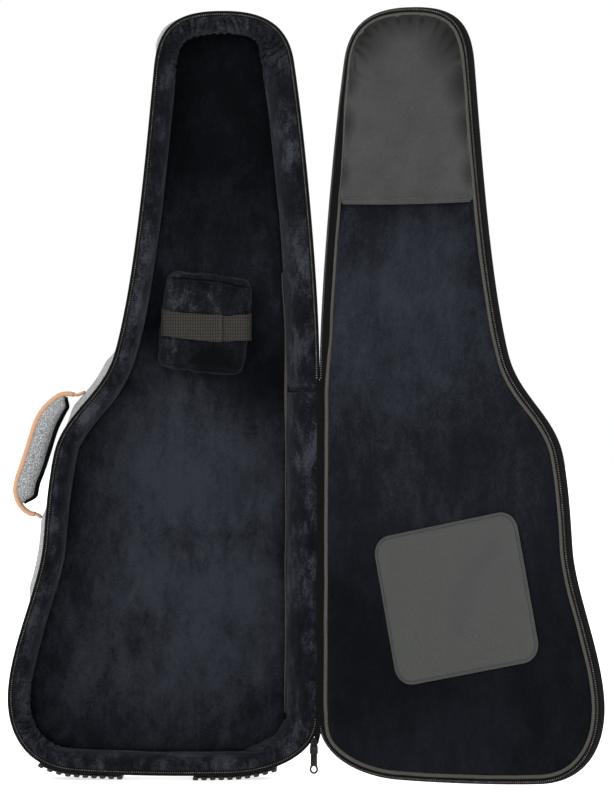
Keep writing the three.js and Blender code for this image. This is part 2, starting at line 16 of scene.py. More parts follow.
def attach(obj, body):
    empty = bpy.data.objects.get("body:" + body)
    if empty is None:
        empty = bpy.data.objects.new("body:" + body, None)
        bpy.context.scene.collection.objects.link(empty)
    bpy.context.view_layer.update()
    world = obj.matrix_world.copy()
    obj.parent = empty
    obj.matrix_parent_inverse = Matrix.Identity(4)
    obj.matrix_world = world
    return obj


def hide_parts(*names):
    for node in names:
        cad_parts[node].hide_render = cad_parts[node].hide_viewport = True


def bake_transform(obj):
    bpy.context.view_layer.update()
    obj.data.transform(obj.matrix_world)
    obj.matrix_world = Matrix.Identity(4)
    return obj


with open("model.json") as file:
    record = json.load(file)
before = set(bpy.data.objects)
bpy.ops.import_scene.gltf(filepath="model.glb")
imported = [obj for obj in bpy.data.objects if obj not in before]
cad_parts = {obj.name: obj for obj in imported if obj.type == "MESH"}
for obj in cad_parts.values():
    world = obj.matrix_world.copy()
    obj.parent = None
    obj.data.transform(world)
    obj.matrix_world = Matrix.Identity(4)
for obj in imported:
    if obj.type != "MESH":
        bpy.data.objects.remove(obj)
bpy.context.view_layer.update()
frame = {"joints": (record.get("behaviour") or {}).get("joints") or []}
MM = 0.001

# ---------------------------------------------------------------- the hinge frame
LID_JOINT = next(j for j in frame["joints"] if j["name"] == "lid_hinge")
PIVOT_HEIGHT = 300  # the joint's point is this far up the hinge frame's z
UP = Vector(LID_JOINT["axis"]).normalized()
DEEP = Vector((0, 1, 0))
ACROSS = DEEP.cross(UP)
ORIGIN = Vector(LID_JOINT["pos_m"]) - UP * PIVOT_HEIGHT * MM
AXES = np.array([ACROSS, DEEP, UP])
LID_OPEN = -math.radians(LID_JOINT["range_deg"][0])


def turned(x, y, angle):
    """Points of a plane, turned about its origin."""
    c, s = math.cos(angle), math.sin(angle)
    return x * c - y * s, x * s + y * c


def place(points, on_lid=False):
    """Hinge-frame millimetres to metres in the row frame."""
    points = np.array(points, float)
    if on_lid:
        points[..., 0], points[..., 1] = turned(points[..., 0], points[..., 1], LID_OPEN)
    return points @ AXES * MM + np.array(ORIGIN)


# ---------------------------------------------------------------- the outline, as in the CAD
DEPTH = 98
PADDING = 25  # thickness of the wall with its lining
FLOOR = 76  # depth of the lined floor
LEAN = 24  # how far the hinge-side wall leans in on its way to the back
EDGE = 0.6  # the rims lie this far inside the outline
LID = 22
HEM = 789  # height of the headstock panel's hem
HINGE_LOW = 84
HINGE_HIGH = 552
OUTLINE_START = (0, HINGE_LOW)
# cubic arcs in (x, z): two handles and the end of each
OUTLINE_ARCS = [
    ((0, 240), (0, 396), (0, HINGE_HIGH)),
    ((0, 672), (-22, 891), (-36, 980)),
    ((-42, 1030), (-72, 1054), (-134, 1053)),
    ((-196, 1053), (-221, 1034), (-227, 980)),
    ((-236, 889), (-250, 690), (-281, 580)),
    ((-298, 524), (-352, 500), (-363, 444)),
    ((-372, 400), (-374, 357), (-377, 322)),
    ((-382, 262), (-424, 180), (-425, 112)),
    ((-425, 52), (-392, 12), (-330, 9)),
    ((-262, 4.8), (-176, 4.6), (-122, 6.2)),
    ((-60, 8.2), (0, 35), (0, HINGE_LOW)),
]
# where the far side of the wall bellies out at mid depth: (from, to, by) with heights along z
BELLIES = [(1015, 1070, 7), (508, 566, 11), (262, 352, 9)]
BELLY_FADE = 26
SEAM_HEIGHT = 536  # where the hinge-side wall lining is seamed
TAUT = 2  # belly where the wall is taut
NARROW = 0.4  # the rim's edging is this much narrower along the hinge
GUSSET = 12.2  # how far the lid's black edging reaches in from the rim
FAR_NARROW = 0.56  # the lid's edging is this much narrower away from the hinge side
STEP = 5  # spacing of the stations round the outline
ARC_POINTS = 160  # points on each arc before the stations are spaced


def smoothstep(value, low, high):
    t = np.clip((value - low) / (high - low), 0, 1)
    return t * t * (3 - 2 * t)


def in_space(flat, y):
    """(x, z) points of a plane, set at depth y."""
    return np.column_stack([flat[:, 0], np.broadcast_to(y, len(flat)), flat[:, 1]])


def hill(value, at, width):
    """1 where the value is at, falling to 0 on both sides of it."""
    return np.exp(-((value - at) / width) ** 2)


def unit(vectors):
    """The vectors brought to length 1; they run along the last axis."""
    return vectors / np.maximum(np.linalg.norm(vectors, axis=-1, keepdims=True), 1e-9)


def run_along(path):
    """How long a path is up to each of its points."""
    return np.concatenate([[0], np.cumsum(np.linalg.norm(np.diff(path, axis=0), axis=1))])


def points_at(where, run, path):
    """The points that lie at the lengths in where."""
    return np.column_stack([np.interp(where, run, column) for column in path.T])


class Outline:
    """Stations evenly spaced round the outline: place, inward direction, and how the wall leans."""

    def __init__(self, step):
        dense = []
        start = np.array(OUTLINE_START, float)
        for arc in OUTLINE_ARCS:
            first, second, end = (np.array(p, float) for p in arc)
            t = np.linspace(0, 1, ARC_POINTS, endpoint=False)[:, None]
            dense.append((1 - t) ** 3 * start + 3 * (1 - t) ** 2 * t * first
                         + 3 * (1 - t) * t * t * second + t ** 3 * end)
            start = end
        dense = np.vstack([*dense, dense[0][:1]])
        run = run_along(dense)
        count = int(run[-1] / step)
        self.at_length = np.arange(count) * run[-1] / count
        self.at = points_at(self.at_length, run, dense)
        along = unit(np.roll(self.at, -3, axis=0) - np.roll(self.at, 3, axis=0))
        self.inward = np.column_stack([-along[:, 1], along[:, 0]])
        self.into = np.column_stack([self.inward[:, 0], np.zeros(count), self.inward[:, 1]])
        self.lean = smoothstep(-self.inward[:, 0], 0.25, 0.95)
        flat = smoothstep(self.inward[:, 1], 0.2, 0.8) * 0.85 + smoothstep(-self.inward[:, 1], 0.6, 1) * 0.6
        height = self.at[:, 1]
        belly = TAUT + sum((by - TAUT) * smoothstep(height, low - BELLY_FADE, low)
                           * (1 - smoothstep(height, high, high + BELLY_FADE)) for low, high, by in BELLIES)
        self.bulge = belly * (1 - self.lean) * (1 - flat)
        near_hinge = smoothstep(height, 60, 110) * (1 - smoothstep(height, 530, 610))
        self.edging = 1 - NARROW * self.lean * near_hinge
        far = np.maximum.reduce([smoothstep(-self.at[:, 0], 60, 190), smoothstep(height, 830, 990),
                                 1 - smoothstep(height, 40, 110)])
        self.gusset = GUSSET * self.edging * (1 - FAR_NARROW * far)
        self.lid_inset = EDGE + self.gusset + 4.4
        self.arc_ends = run[ARC_POINTS::ARC_POINTS]
        self.count = count
        self.hinge = (self.at_length > 4) & (self.at_length < HINGE_HIGH - HINGE_LOW - 4)

    def offset(self, d, y):
        """One loop of points, d inside the outline at depth y."""
        flat = self.at + self.inward * np.broadcast_to(d, self.count)[:, None]
        return in_space(flat, y)

    def arc_span(self, arc, start, end):
        """First and last station of part of an arc; start and end are fractions of it."""
        low = self.arc_ends[arc - 1]
        length = self.arc_ends[arc] - low
        return np.searchsorted(self.at_length, [low + start * length, low + end * length])

    def outer(self, y):
        return EDGE + self.lean * LEAN * (y / DEPTH) - self.bulge * math.sin(math.pi * y / DEPTH)

    def inner(self, y):
        return PADDING + self.lean * LEAN * (y / DEPTH)


RIM = Outline(STEP)


def wave(points, size, seed):
    """Smooth noise from -1 to 1 at points, with features of about that size."""
    flat = np.asarray(points, float).reshape(-1, 3) / size
    shift = Vector((seed, seed * 0.7, -seed))
    values = [noise.noise(Vector(p) + shift) for p in flat]
    return np.array(values).reshape(np.asarray(points).shape[:-1])


def flowing(control, count):
    """A smooth curve of count points through control points, which run along the last axis but one."""
    control = np.asarray(control, float)
    last = control.shape[-2] - 1
    t = np.linspace(0, last, count)
    i = np.clip(t.astype(int), 0, last - 1)
    f = (t - i)[:, None]
    p0 = control[..., np.maximum(i - 1, 0), :]
    p1 = control[..., i, :]
    p2 = control[..., i + 1, :]
    p3 = control[..., np.minimum(i + 2, last), :]
    return 0.5 * (2 * p1 + (p2 - p0) * f + (2 * p0 - 5 * p1 + 4 * p2 - p3) * f ** 2
                  + (3 * p1 - p0 - 3 * p2 + p3) * f ** 3)


def ring(section, count):
    """count points on a smooth closed curve through the points of a section."""
    return flowing(section + section[:1], count + 1)[:-1]


def finer(rows, times):
    """A closed run of rows, with times as many of them on smooth curves."""
    padded = np.moveaxis(np.concatenate([rows[-2:], rows, rows[:3]]), 0, -2)
    smooth = np.moveaxis(flowing(padded, (len(rows) + 4) * times + 1), -2, 0)
    return smooth[2 * times:(len(rows) + 2) * times]


# ---------------------------------------------------------------- mesh building
def new_piece(name, points, faces, material, on_lid=False):
    mesh = bpy.data.meshes.new(name)
    mesh.from_pydata(place(points, on_lid).tolist(), [], faces)
    mesh.validate()
    mesh.polygons.foreach_set("use_smooth", [True] * len(mesh.polygons))
    mesh.materials.append(material)
    piece = bpy.data.objects.new(name, mesh)
    bpy.context.scene.collection.objects.link(piece)
    return piece


def grid_faces(rows, columns, round_rows, round_columns, first=0):
    faces = []
    for i in range(rows if round_rows else rows - 1):
        for j in range(columns if round_columns else columns - 1):
            k, m = (i + 1) % rows, (j + 1) % columns
            faces.append((first + i * columns + j, first + i * columns + m,
                          first + k * columns + m, first + k * columns + j))
    return faces


def loft(name, rows, material, round_rows=False, round_columns=False, ends=False, on_lid=False):
    """A skin over rows of points. ends closes the first and last row of a round section."""
    rows = np.asarray(rows, float)
    count, size = rows.shape[:2]
    faces = grid_faces(count, size, round_rows, round_columns)
    if ends:
        faces.append(tuple(range(size))[::-1])
        faces.append(tuple((count - 1) * size + j for j in range(size)))
    piece = new_piece(name, rows.reshape(-1, 3), faces, material, on_lid)
    if ends or (round_rows and round_columns):
        face_out(piece)
    return piece


def bar(name, rows, material, on_lid=False):
    """A closed solid over rows that are round sections."""
    return loft(name, rows, material, round_columns=True, ends=True, on_lid=on_lid)


def face_out(piece):
    work = bmesh.new()
    work.from_mesh(piece.data)
    bmesh.ops.recalc_face_normals(work, faces=work.faces)
    work.to_mesh(piece.data)
    work.free()


def bake_modifiers(piece):
    bpy.context.view_layer.update()
    graph = bpy.context.evaluated_depsgraph_get()
    mesh = bpy.data.meshes.new_from_object(piece.evaluated_get(graph))
    piece.modifiers.clear()
    piece.data = mesh


def thicken(piece, thickness, offset=-1):
    """Gives a skin a back face."""
    solid = piece.modifiers.new("thick", "SOLIDIFY")
    solid.thickness = thickness * MM
    solid.offset = offset
    bake_modifiers(piece)
    return piece


CLOTH_FRAMES = 20
CLOTH_STIFFNESS = 15


def inflate(piece, pressure, cap, pinned, grow=0.0, loose=None):
    """Cloth simulation: the skin swells off its pinned points, by at most cap millimetres. Where loose is 1
    the cloth has grown by the share grow, so that it gathers."""
    rest = np.array([v.co for v in piece.data.vertices], float)
    cloth = piece.modifiers.new("cloth", "CLOTH")
    settings = cloth.settings
    settings.quality = 5
    settings.mass = 0.3
    settings.use_pressure = True
    settings.uniform_pressure_force = pressure
    settings.tension_stiffness = settings.compression_stiffness = CLOTH_STIFFNESS
    settings.bending_stiffness = 0.4
    if loose is not None:
        group = piece.vertex_groups.new(name="loose")
        for index, weight in enumerate(loose):
            group.add([index], float(weight), "REPLACE")
        settings.vertex_group_shrink = "loose"
        settings.shrink_max = -grow
    settings.effector_weights.gravity = 0
    cloth.collision_settings.use_collision = False
    group = piece.vertex_groups.new(name="pinned")
    group.add([int(i) for i in pinned], 1.0, "REPLACE")
    settings.vertex_group_mass = "pinned"
    cloth.point_cache.frame_start = 1
    cloth.point_cache.frame_end = CLOTH_FRAMES
    for number in range(1, CLOTH_FRAMES + 1):
        bpy.context.scene.frame_set(number)
    graph = bpy.context.evaluated_depsgraph_get()
    swollen = piece.evaluated_get(graph).to_mesh()
    moved = np.array([v.co for v in swollen.vertices], float) - rest
    length = np.linalg.norm(moved, axis=1)
    moved *= np.minimum(1, cap * MM / np.maximum(length, 1e-9))[:, None]
    piece.modifiers.clear()
    piece.vertex_groups.clear()
    piece.data.vertices.foreach_set("co", (rest + moved).ravel())
    piece.data.update()
    bpy.context.scene.frame_set(1)


def panel(name, border, spacing, lift, material, on_lid=False):
    """A sheet that fills a border [(x, z), ...]. lift(points, inset) gives y for points that far inside."""
    border = np.asarray(border, float)
    low, high = border.min(0), border.max(0)
    xs = np.arange(low[0] + spacing * 0.37, high[0], spacing)
    zs = np.arange(low[1] + spacing * 0.41, high[1], spacing * 0.87)
    inside = np.array([(x + (k % 2) * spacing / 2, z) for k, z in enumerate(zs) for x in xs])
    tree = kdtree.KDTree(len(border))
    for k, p in enumerate(border):
        tree.insert((p[0], p[1], 0), k)
    tree.balance()
    inset = np.array([tree.find((p[0], p[1], 0))[2] for p in inside])
    points = np.vstack([border, inside[inset > spacing * 0.55]])
    count = len(border)
    edges = [(k, (k + 1) % count) for k in range(count)]
    verts, _, faces, _, _, _ = geometry.delaunay_2d_cdt(
        [Vector(p) for p in points], edges, [], 1, 1e-4)
    flat = np.array([tuple(v) for v in verts])
    depth = np.array([tree.find((p[0], p[1], 0))[2] for p in flat])
    y = lift(np.column_stack([flat[:, 0], np.zeros(len(flat)), flat[:, 1]]), depth)
    return new_piece(name, np.column_stack([flat[:, 0], y, flat[:, 1]]), [tuple(f) for f in faces],
                     material, on_lid)


def tube(name, path, radius, material, sides=10, closed=False, on_lid=False):
    """A round section carried along a path of hinge-frame points."""
    path = np.asarray(path, float)
    if closed:
        along = np.roll(path, -1, axis=0) - np.roll(path, 1, axis=0)
    else:
        along = np.gradient(path, axis=0)
    along = unit(along)
    aside = unit(np.cross(along, DEEP))
    above = np.cross(aside, along)
    turn = np.linspace(0, 2 * np.pi, sides, endpoint=False)
    rows = (path[:, None] + radius * (np.cos(turn)[None, :, None] * aside[:, None]
                                      + np.sin(turn)[None, :, None] * above[:, None]))
    return loft(name, rows, material, closed, True, not closed, on_lid)


def along_path(path, step, closed=False):
    """Points at an even step along a path, with the direction at each."""
    path = np.asarray(path, float)
    if closed:
        path = np.vstack([path, path[:1]])
    run = run_along(path)
    count = max(int(run[-1] / step), 1)
    where = (np.arange(count) + 0.5) * run[-1] / count
    ahead, behind = (points_at(where + way * step * 0.2, run, path) for way in (1, -1))
    return points_at(where, run, path), unit(ahead - behind)


# a small barrel with six sides and tapered ends: (along, aside, above) in units of its half size
BARREL = [(a, r * math.cos(k * math.pi / 3), r * math.sin(k * math.pi / 3))
          for a, r in ((-1, 0.55), (-0.6, 1), (0.6, 1), (1, 0.55)) for k in range(6)]
BARREL_FACES = grid_faces(4, 6, False, True) + [tuple(range(6))[::-1], tuple(range(18, 24))]


def barrels(name, path, step, size, material, closed=False, on_lid=False, up=(0, 1, 0)):
    """Stitches or zip teeth: small barrels set along a path. size is (length, width, height)."""
    at, along = along_path(path, step, closed)
    aside = unit(np.cross(along, up))
    above = np.cross(aside, along)
    shape = np.array(BARREL) * np.array(size) / 2
    points = (at[:, None] + shape[None, :, :1] * along[:, None]
              + shape[None, :, 1:2] * aside[:, None] + shape[None, :, 2:] * above[:, None])
    faces = [tuple(24 * n + i for i in face) for n in range(len(at)) for face in BARREL_FACES]
    return new_piece(name, points.reshape(-1, 3), faces, material, on_lid)


def rounded_border(middle, width, height, radius, turn, steps=7, spacing=4.0):
    """A rounded rectangle in plan with evenly spaced points, turned about its middle."""
    points = []
    for quarter, (sx, sz) in enumerate([(1, 1), (-1, 1), (-1, -1), (1, -1)]):
        for k in range(steps + 1):
            angle = math.pi / 2 * (quarter + k / steps)
            points.append((sx * (width / 2 - radius) + radius * math.cos(angle), 0,
                           sz * (height / 2 - radius) + radius * math.sin(angle)))
    even, _ = along_path(points, spacing, closed=True)
    return np.column_stack(turned(even[:, 0], even[:, 2], turn)) + middle


def hinge_frame(piece):
    """The piece's points in the hinge frame."""
    co = np.array([v.co for v in piece.data.vertices])
    return (co - np.array(ORIGIN)) @ AXES.T / MM


def move_to(piece, points):
    """Sets the piece's points, given in the hinge frame."""
    piece.data.vertices.foreach_set("co", place(points).ravel())
    piece.data.update()


def finish_piece(piece, body, replaces=()):
    if replaces:
        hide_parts(*replaces)
    if body:
        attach(piece, body)
    return piece


# ---------------------------------------------------------------- materials
class Surface:
    """A node material, with short calls for the nodes that these finishes use."""

    def __init__(self, name, roughness=0.9, metallic=0.0, sheen=0.0, sheen_tint=(1, 1, 1), specular=0.3):
        self.material = bpy.data.materials.new(name)
        self.material.use_nodes = True
        self.tree = self.material.node_tree
        self.shader = self.tree.nodes["Principled BSDF"]
        for key, value in (("Roughness", roughness), ("Metallic", metallic), ("Specular IOR Level", specular),
                           ("Sheen Weight", sheen), ("Sheen Roughness", 0.5), ("Sheen Tint", sheen_tint)):
            self.feed(self.shader.inputs[key], value)
        self.place = self.tree.nodes.new("ShaderNodeTexCoord").outputs["Object"]

    def feed(self, socket, value):
        """Links a socket to another one, or sets its value."""
        if isinstance(value, bpy.types.NodeSocket):
            self.tree.links.new(value, socket)
        else:
            socket.default_value = (*value, 1) if socket.type == "RGBA" else value

    def node(self, kind, **inputs):
        made = self.tree.nodes.new(kind)
        for key, value in inputs.items():
            self.feed(made.inputs[key.replace("_", " ")], value)
        return made

    def near(self, point, radius):
        """1 at a point in the row frame, fading to 0 at radius millimetres from it."""
        distance = self.node("ShaderNodeVectorMath", Vector=self.place)
        distance.operation = "DISTANCE"
        distance.inputs[1].default_value = tuple(point)
        fade = self.node("ShaderNodeMapRange", Value=distance.outputs["Value"],
                         From_Min=0.0, From_Max=radius * MM, To_Min=1.0, To_Max=0.0)
        fade.interpolation_type = "SMOOTHSTEP"
        return fade.outputs["Result"]

    def folds(self):
        """0 in a crease, 1 on open cloth and on the crown of a fold; the finishes use it to paint shade into
        creases.
        """
        bent = self.node("ShaderNodeNewGeometry").outputs["Pointiness"]
        fade = self.node("ShaderNodeMapRange", Value=bent, From_Min=0.455, From_Max=0.503)
        return fade.outputs["Result"]

    def stretched(self, x, y, z):
        return self.node("ShaderNodeMapping", Vector=self.place, Scale=(x, y, z)).outputs[0]

    def noise(self, size, detail=2.0, roughness=0.5, distortion=0.0, vector=None):
        """Noise with features of about size millimetres."""
        made = self.node("ShaderNodeTexNoise", Vector=vector or self.place, Scale=1 / (size * MM),
                         Detail=detail, Roughness=roughness, Distortion=distortion)
        return made.outputs["Fac"]

    def bands(self, size, direction, distortion):
        """Bands about size millimetres apart."""
        made = self.node("ShaderNodeTexWave", Vector=self.place, Scale=math.pi / (10 * size * MM),
                         Distortion=distortion)
        made.bands_direction = direction
        return made.outputs["Fac"]

    def ramp(self, factor, *stops):
        made = self.node("ShaderNodeValToRGB", Fac=factor)
        elements = made.color_ramp.elements
        while len(elements) < len(stops):
            elements.new(0.5)
        for element, (position, colour) in zip(elements, stops):
            element.position = position
            element.color = (*colour, 1)
        return made.outputs["Color"]

    def blend(self, factor, first, second):
        made = self.tree.nodes.new("ShaderNodeMix")
        made.data_type = "RGBA"
        for number, value in ((0, factor), (6, first), (7, second)):
            self.feed(made.inputs[number], value)
        return made.outputs[2]

    def math(self, operation, first, second):
        made = self.tree.nodes.new("ShaderNodeMath")
        made.operation = operation
        for socket, value in zip(made.inputs, (first, second)):
            self.feed(socket, value)
        return made.outputs[0]

    def plus(self, base, part, share):
        """base and a share of part."""
        return self.math("ADD", base, self.math("MULTIPLY", part, share))

    def colour(self, socket):
        self.feed(self.shader.inputs["Base Color"], socket)

    def roughness(self, socket, low, high):
        spread = self.math("MULTIPLY_ADD", socket, high - low)
        spread.node.inputs[2].default_value = low
        self.feed(self.shader.inputs["Roughness"], spread)

    def bump(self, height, strength, distance):
        """distance is the relief in millimetres."""
        made = self.node("ShaderNodeBump", Height=height, Strength=strength, Distance=distance * MM)
        self.feed(self.shader.inputs["Normal"], made.outputs[0])


def plush_material(name, dark, mid, light, patch, spread, lit=(), unlit=()):
    """Short pile, brushed so that patches of it lie light or dark. patch is the size of the patches, spread
    their contrast; lit and unlit hold (point, radius) of the places where painted light and painted shade are
    added to the tone."""
    s = Surface(name, roughness=0.95, sheen=0.05, sheen_tint=(0.70, 0.76, 0.92), specular=0.04)
    broad = s.noise(patch * 3, detail=4, roughness=0.6, distortion=0.4)
    brush = s.noise(patch, detail=6, roughness=0.72, distortion=0.35, vector=s.stretched(1.0, 1.0, 0.55))
    nap = s.noise(2.4, detail=4, roughness=0.75)
    tone = s.plus(s.math("MULTIPLY", broad, 0.4), brush, 0.6)
    tone = s.plus(tone, s.math("SUBTRACT", nap, 0.5), 0.45)
    streak = s.noise(9, detail=5, roughness=0.8, vector=s.stretched(1.0, 1.0, 0.4))
    tone = s.plus(tone, s.math("SUBTRACT", streak, 0.5), 0.30)
    # painted light at the lit places and painted shade at the unlit ones
    for places, gain in ((lit, 0.20), (unlit, -0.24)):
        for point, radius in places:
            tone = s.plus(tone, s.near(point, radius), gain)
    colour = s.ramp(tone, (0.5 - spread, dark), (0.5, mid), (0.5 + spread, light))
    # creases painted towards dark: painted shade where the mesh bends in
    s.colour(s.blend(s.folds(), dark, colour))
    s.bump(s.plus(nap, brush, 2.0), 0.6, 1.0)
    return s.material


def woven_material(name, dark, light, thread, roughness=0.75, bump=0.5, shade=None, shaded=()):
    """A plain weave: crossed bands of thread, with slubs and slow changes of tone towards shade. shaded holds
    (point, radius) of the places where the cloth is drawn in and lies in its own shade."""
    s = Surface(name, roughness=roughness, specular=0.08)
    warp = s.bands(thread, "X", 0.4)
    weft = s.bands(thread, "Z", 0.4)
    weave = s.math("MULTIPLY", warp, weft)
    slub = s.noise(thread * 1.6, detail=4, roughness=0.75)
    slow = s.noise(45, detail=3)
    tone = s.plus(s.math("MULTIPLY", weave, 0.5), slub, 0.5)
    colour = s.ramp(tone, (0.2, dark), (0.7, light))
    if shaded:
        # creases painted towards the shade colour: painted shade where the mesh bends in
        colour = s.blend(s.folds(), shade, colour)
    fade = s.math("MULTIPLY", slow, 0.5)
    for point, radius in shaded:
        fade = s.math("MAXIMUM", fade, s.near(point, radius))
    s.colour(s.blend(fade, colour, shade or dark))
    s.roughness(slub, roughness - 0.1, roughness + 0.12)
    s.bump(s.plus(weave, slub, 0.4), bump, thread * 0.3)
    return s.material


def heather_material():
    """Marled fabric: dark, mid and pale fibres spun together."""
    s = Surface("heather_fabric", roughness=0.9, sheen=0.15, specular=0.2)
    across = s.noise(1.1, detail=3, roughness=0.7, vector=s.stretched(0.45, 1.0, 1.0))
    down = s.noise(1.1, detail=3, roughness=0.7, vector=s.stretched(1.0, 1.0, 0.45))
    fleck = s.plus(s.math("MULTIPLY", across, 0.5), down, 0.5)
    slow = s.noise(45, detail=2)
    colour = s.ramp(fleck, (0.36, (0.03, 0.032, 0.035)), (0.46, (0.13, 0.135, 0.138)),
                    (0.54, (0.29, 0.297, 0.30)), (0.64, (0.60, 0.61, 0.615)))
    s.colour(s.blend(s.math("MULTIPLY", slow, 0.25), colour, (0.12, 0.125, 0.13)))
    s.bump(fleck, 0.6, 0.5)
    return s.material


def webbing_material():
    """Webbing woven as a fine grid of raised picks, a little uneven and worn."""
    s = Surface("webbing", roughness=0.85, sheen=0.03, specular=0.08)
    rib = s.bands(2.3, "X", 0.5)
    pick = s.bands(2.0, "Z", 0.5)
    grain = s.noise(1.2, detail=3, roughness=0.7)
    relief = s.math("MULTIPLY", rib, pick)
    tone = s.plus(s.math("MULTIPLY", relief, 0.75), grain, 0.35)
    s.colour(s.ramp(tone, (0.12, (0.004, 0.0038, 0.0034)), (0.4, (0.016, 0.0152, 0.0134)),
                    (0.8, (0.085, 0.080, 0.070))))
    s.bump(s.plus(relief, grain, 0.3), 0.8, 0.5)
    return s.material


def leather_material():
    """Tan leather: pebbled grain, darker burnished patches."""
    s = Surface("tan_leather", roughness=0.5, specular=0.4)
    grain = s.noise(1.1, detail=5, roughness=0.6)
    patch = s.noise(22, detail=3)
    colour = s.ramp(grain, (0.3, (0.36, 0.185, 0.095)), (0.7, (0.52, 0.30, 0.175)))
    s.colour(s.blend(s.math("MULTIPLY", patch, 0.4), colour, (0.38, 0.20, 0.10)))
    s.roughness(grain, 0.42, 0.62)
    s.bump(grain, 0.5, 0.35)
    return s.material


def moulded_material(name, colour, worn, roughness, metallic=0.0, grain=0.6, specular=0.4):
    """Rubber, plastic or metal: a fine moulded or cast texture with worn, paler spots."""
    s = Surface(name, roughness=roughness, metallic=metallic, specular=specular)
    fine = s.noise(grain, detail=4, roughness=0.6)
    wear = s.noise(9, detail=4, roughness=0.65)
    s.colour(s.ramp(wear, (0.45, colour), (0.8, worn)))
    s.roughness(wear, roughness - 0.08, roughness + 0.15)
    s.bump(fine, 0.3, 0.12)
    return s.material


# (place, radius) of the parts of the floor and of the lid that get painted light or painted shade
FLOOR_LIT = [(place((-165, FLOOR, 240)), 290), (place((-190, FLOOR, 470)), 190)]
FLOOR_UNLIT = [(place((-130, FLOOR, 930)), 270), (place((-90, FLOOR, 560)), 120)]
LID_LIT = [(place((-125, -2, 650), True), 250)]
LID_UNLIT = [(place((-370, -2, 120), True), 330), (place((-40, -2, 180), True), 240)]
PLUSH = plush_material("plush_crushed", (0.0010, 0.0012, 0.0017), (0.0048, 0.0054, 0.0074),
                       (0.026, 0.0285, 0.0355), 26, 0.15)
# the pillow's plush gets painted shade low on its face
PLUSH_PILLOW = plush_material("plush_pillow", (0.0010, 0.0012, 0.0016), (0.0056, 0.0061, 0.0078),
                              (0.033, 0.035, 0.041), 26, 0.16, unlit=[(place((-140, 34, 566)), 48)])
PLUSH_FLOOR = plush_material("plush_floor", (0.0012, 0.0014, 0.0020), (0.0052, 0.0060, 0.0084),
                             (0.019, 0.0208, 0.0275), 40, 0.24, FLOOR_LIT, FLOOR_UNLIT)
PLUSH_LID = plush_material("plush_lid", (0.0012, 0.0015, 0.0022), (0.0045, 0.0053, 0.0078),
                           (0.018, 0.0195, 0.026), 55, 0.26, LID_LIT, LID_UNLIT)
# where the headstock panel and the bridge patch are drawn in and lie in their own shade
PANEL_SHADED = [(place((x, 0, z), True), radius) for x, z, radius in
                ((-52, 1036, 115), (-95, 1056, 90), (-135, 1058, 85), (-175, 1056, 90), (-215, 1020, 115),
                 (-26, 965, 62), (-24, 900, 52), (-230, 950, 75), (-238, 895, 60), (-246, 830, 50),
                 (-254, 780, 44), (-20, 830, 44), (-18, 780, 36))]
PATCH_SHADED = [(place((x, 0, z), True), radius) for x, z, radius in
                ((-266, 322, 32), (-258, 312, 34), (-249, 301, 36), (-241, 290, 38), (-233, 279, 38),
                 (-227, 267, 38), (-222, 254, 38), (-219, 241, 36), (-217, 228, 34), (-215, 215, 32))]
NYLON = woven_material("nylon_grey", (0.029, 0.0305, 0.029), (0.084, 0.087, 0.083), 1.3, 0.8, 0.6,
                       shade=(0.043, 0.044, 0.043), shaded=PATCH_SHADED)
NYLON_SMOKE = woven_material("nylon_smoke", (0.030, 0.030, 0.030), (0.092, 0.0925, 0.091), 1.3, 0.8, 0.6,
                             shade=(0.008, 0.008, 0.008), shaded=PANEL_SHADED)
TAPE = woven_material("zip_tape_black", (0.0014, 0.0014, 0.0015), (0.0070, 0.0068, 0.0070), 1.1, 0.9, 0.6)
TRIM = woven_material("piping_warm_grey", (0.030, 0.028, 0.025), (0.125, 0.118, 0.104), 1.2, 0.8, 0.6)
HEATHER = heather_material()
WEBBING = webbing_material()
LEATHER = leather_material()
RUBBER = moulded_material("rubber_black", (0.010, 0.010, 0.010), (0.035, 0.035, 0.034), 0.55)
METAL = moulded_material("black_metal", (0.010, 0.009, 0.008), (0.04, 0.034, 0.028), 0.35, 0.85, 0.4)
PLASTIC = moulded_material("black_plastic", (0.011, 0.011, 0.012), (0.03, 0.03, 0.03), 0.42)
TEETH = moulded_material("zip_teeth", (0.04, 0.038, 0.035), (0.17, 0.165, 0.15), 0.3, 0.3, 0.3, 0.6)
THREAD = moulded_material("stitch_thread", (0.05, 0.05, 0.05), (0.12, 0.12, 0.12), 0.7)
DARK_THREAD = moulded_material("stitch_thread_black", (0.012, 0.012, 0.012), (0.04, 0.04, 0.04), 0.7)
WEB_THREAD = moulded_material("stitch_thread_webbing", (0.04, 0.038, 0.034), (0.09, 0.085, 0.076), 0.7)
TAN_THREAD = moulded_material("stitch_thread_tan", (0.45, 0.26, 0.14), (0.62, 0.40, 0.25), 0.7)


# ---------------------------------------------------------------- camera, lights and floor
VIEW_DISTANCE = 6.5  # camera to the rim plane
VIEW_HEIGHT = 1.096  # what the picture's height covers at the rim plane
VIEW_ACROSS = -16.6  # where the camera looks straight on, in the hinge frame
VIEW_LEVEL = 520.6
SENSOR = 36.0  # on the picture's long side


def make_camera():
    data = bpy.data.cameras.new("camera")
    data.sensor_width = SENSOR
    data.lens = SENSOR * VIEW_DISTANCE / VIEW_HEIGHT
    camera = bpy.data.objects.new("camera", data)
    bpy.context.scene.collection.objects.link(camera)
    camera.location = place((VIEW_ACROSS, -VIEW_DISTANCE / MM, VIEW_LEVEL))
    camera.rotation_euler = (math.pi / 2, 0, 0)
    bpy.context.scene.camera = camera


def area_light(name, location, target, size, power):
    data = bpy.data.lights.new(name, "AREA")
    data.shape = "RECTANGLE"
    data.size, data.size_y = size
    data.energy = power
    light = bpy.data.objects.new(name, data)
    bpy.context.scene.collection.objects.link(light)
    light.location = location
    aim = Vector(target) - Vector(location)
    light.rotation_euler = aim.to_track_quat("-Z", "Y").to_euler()


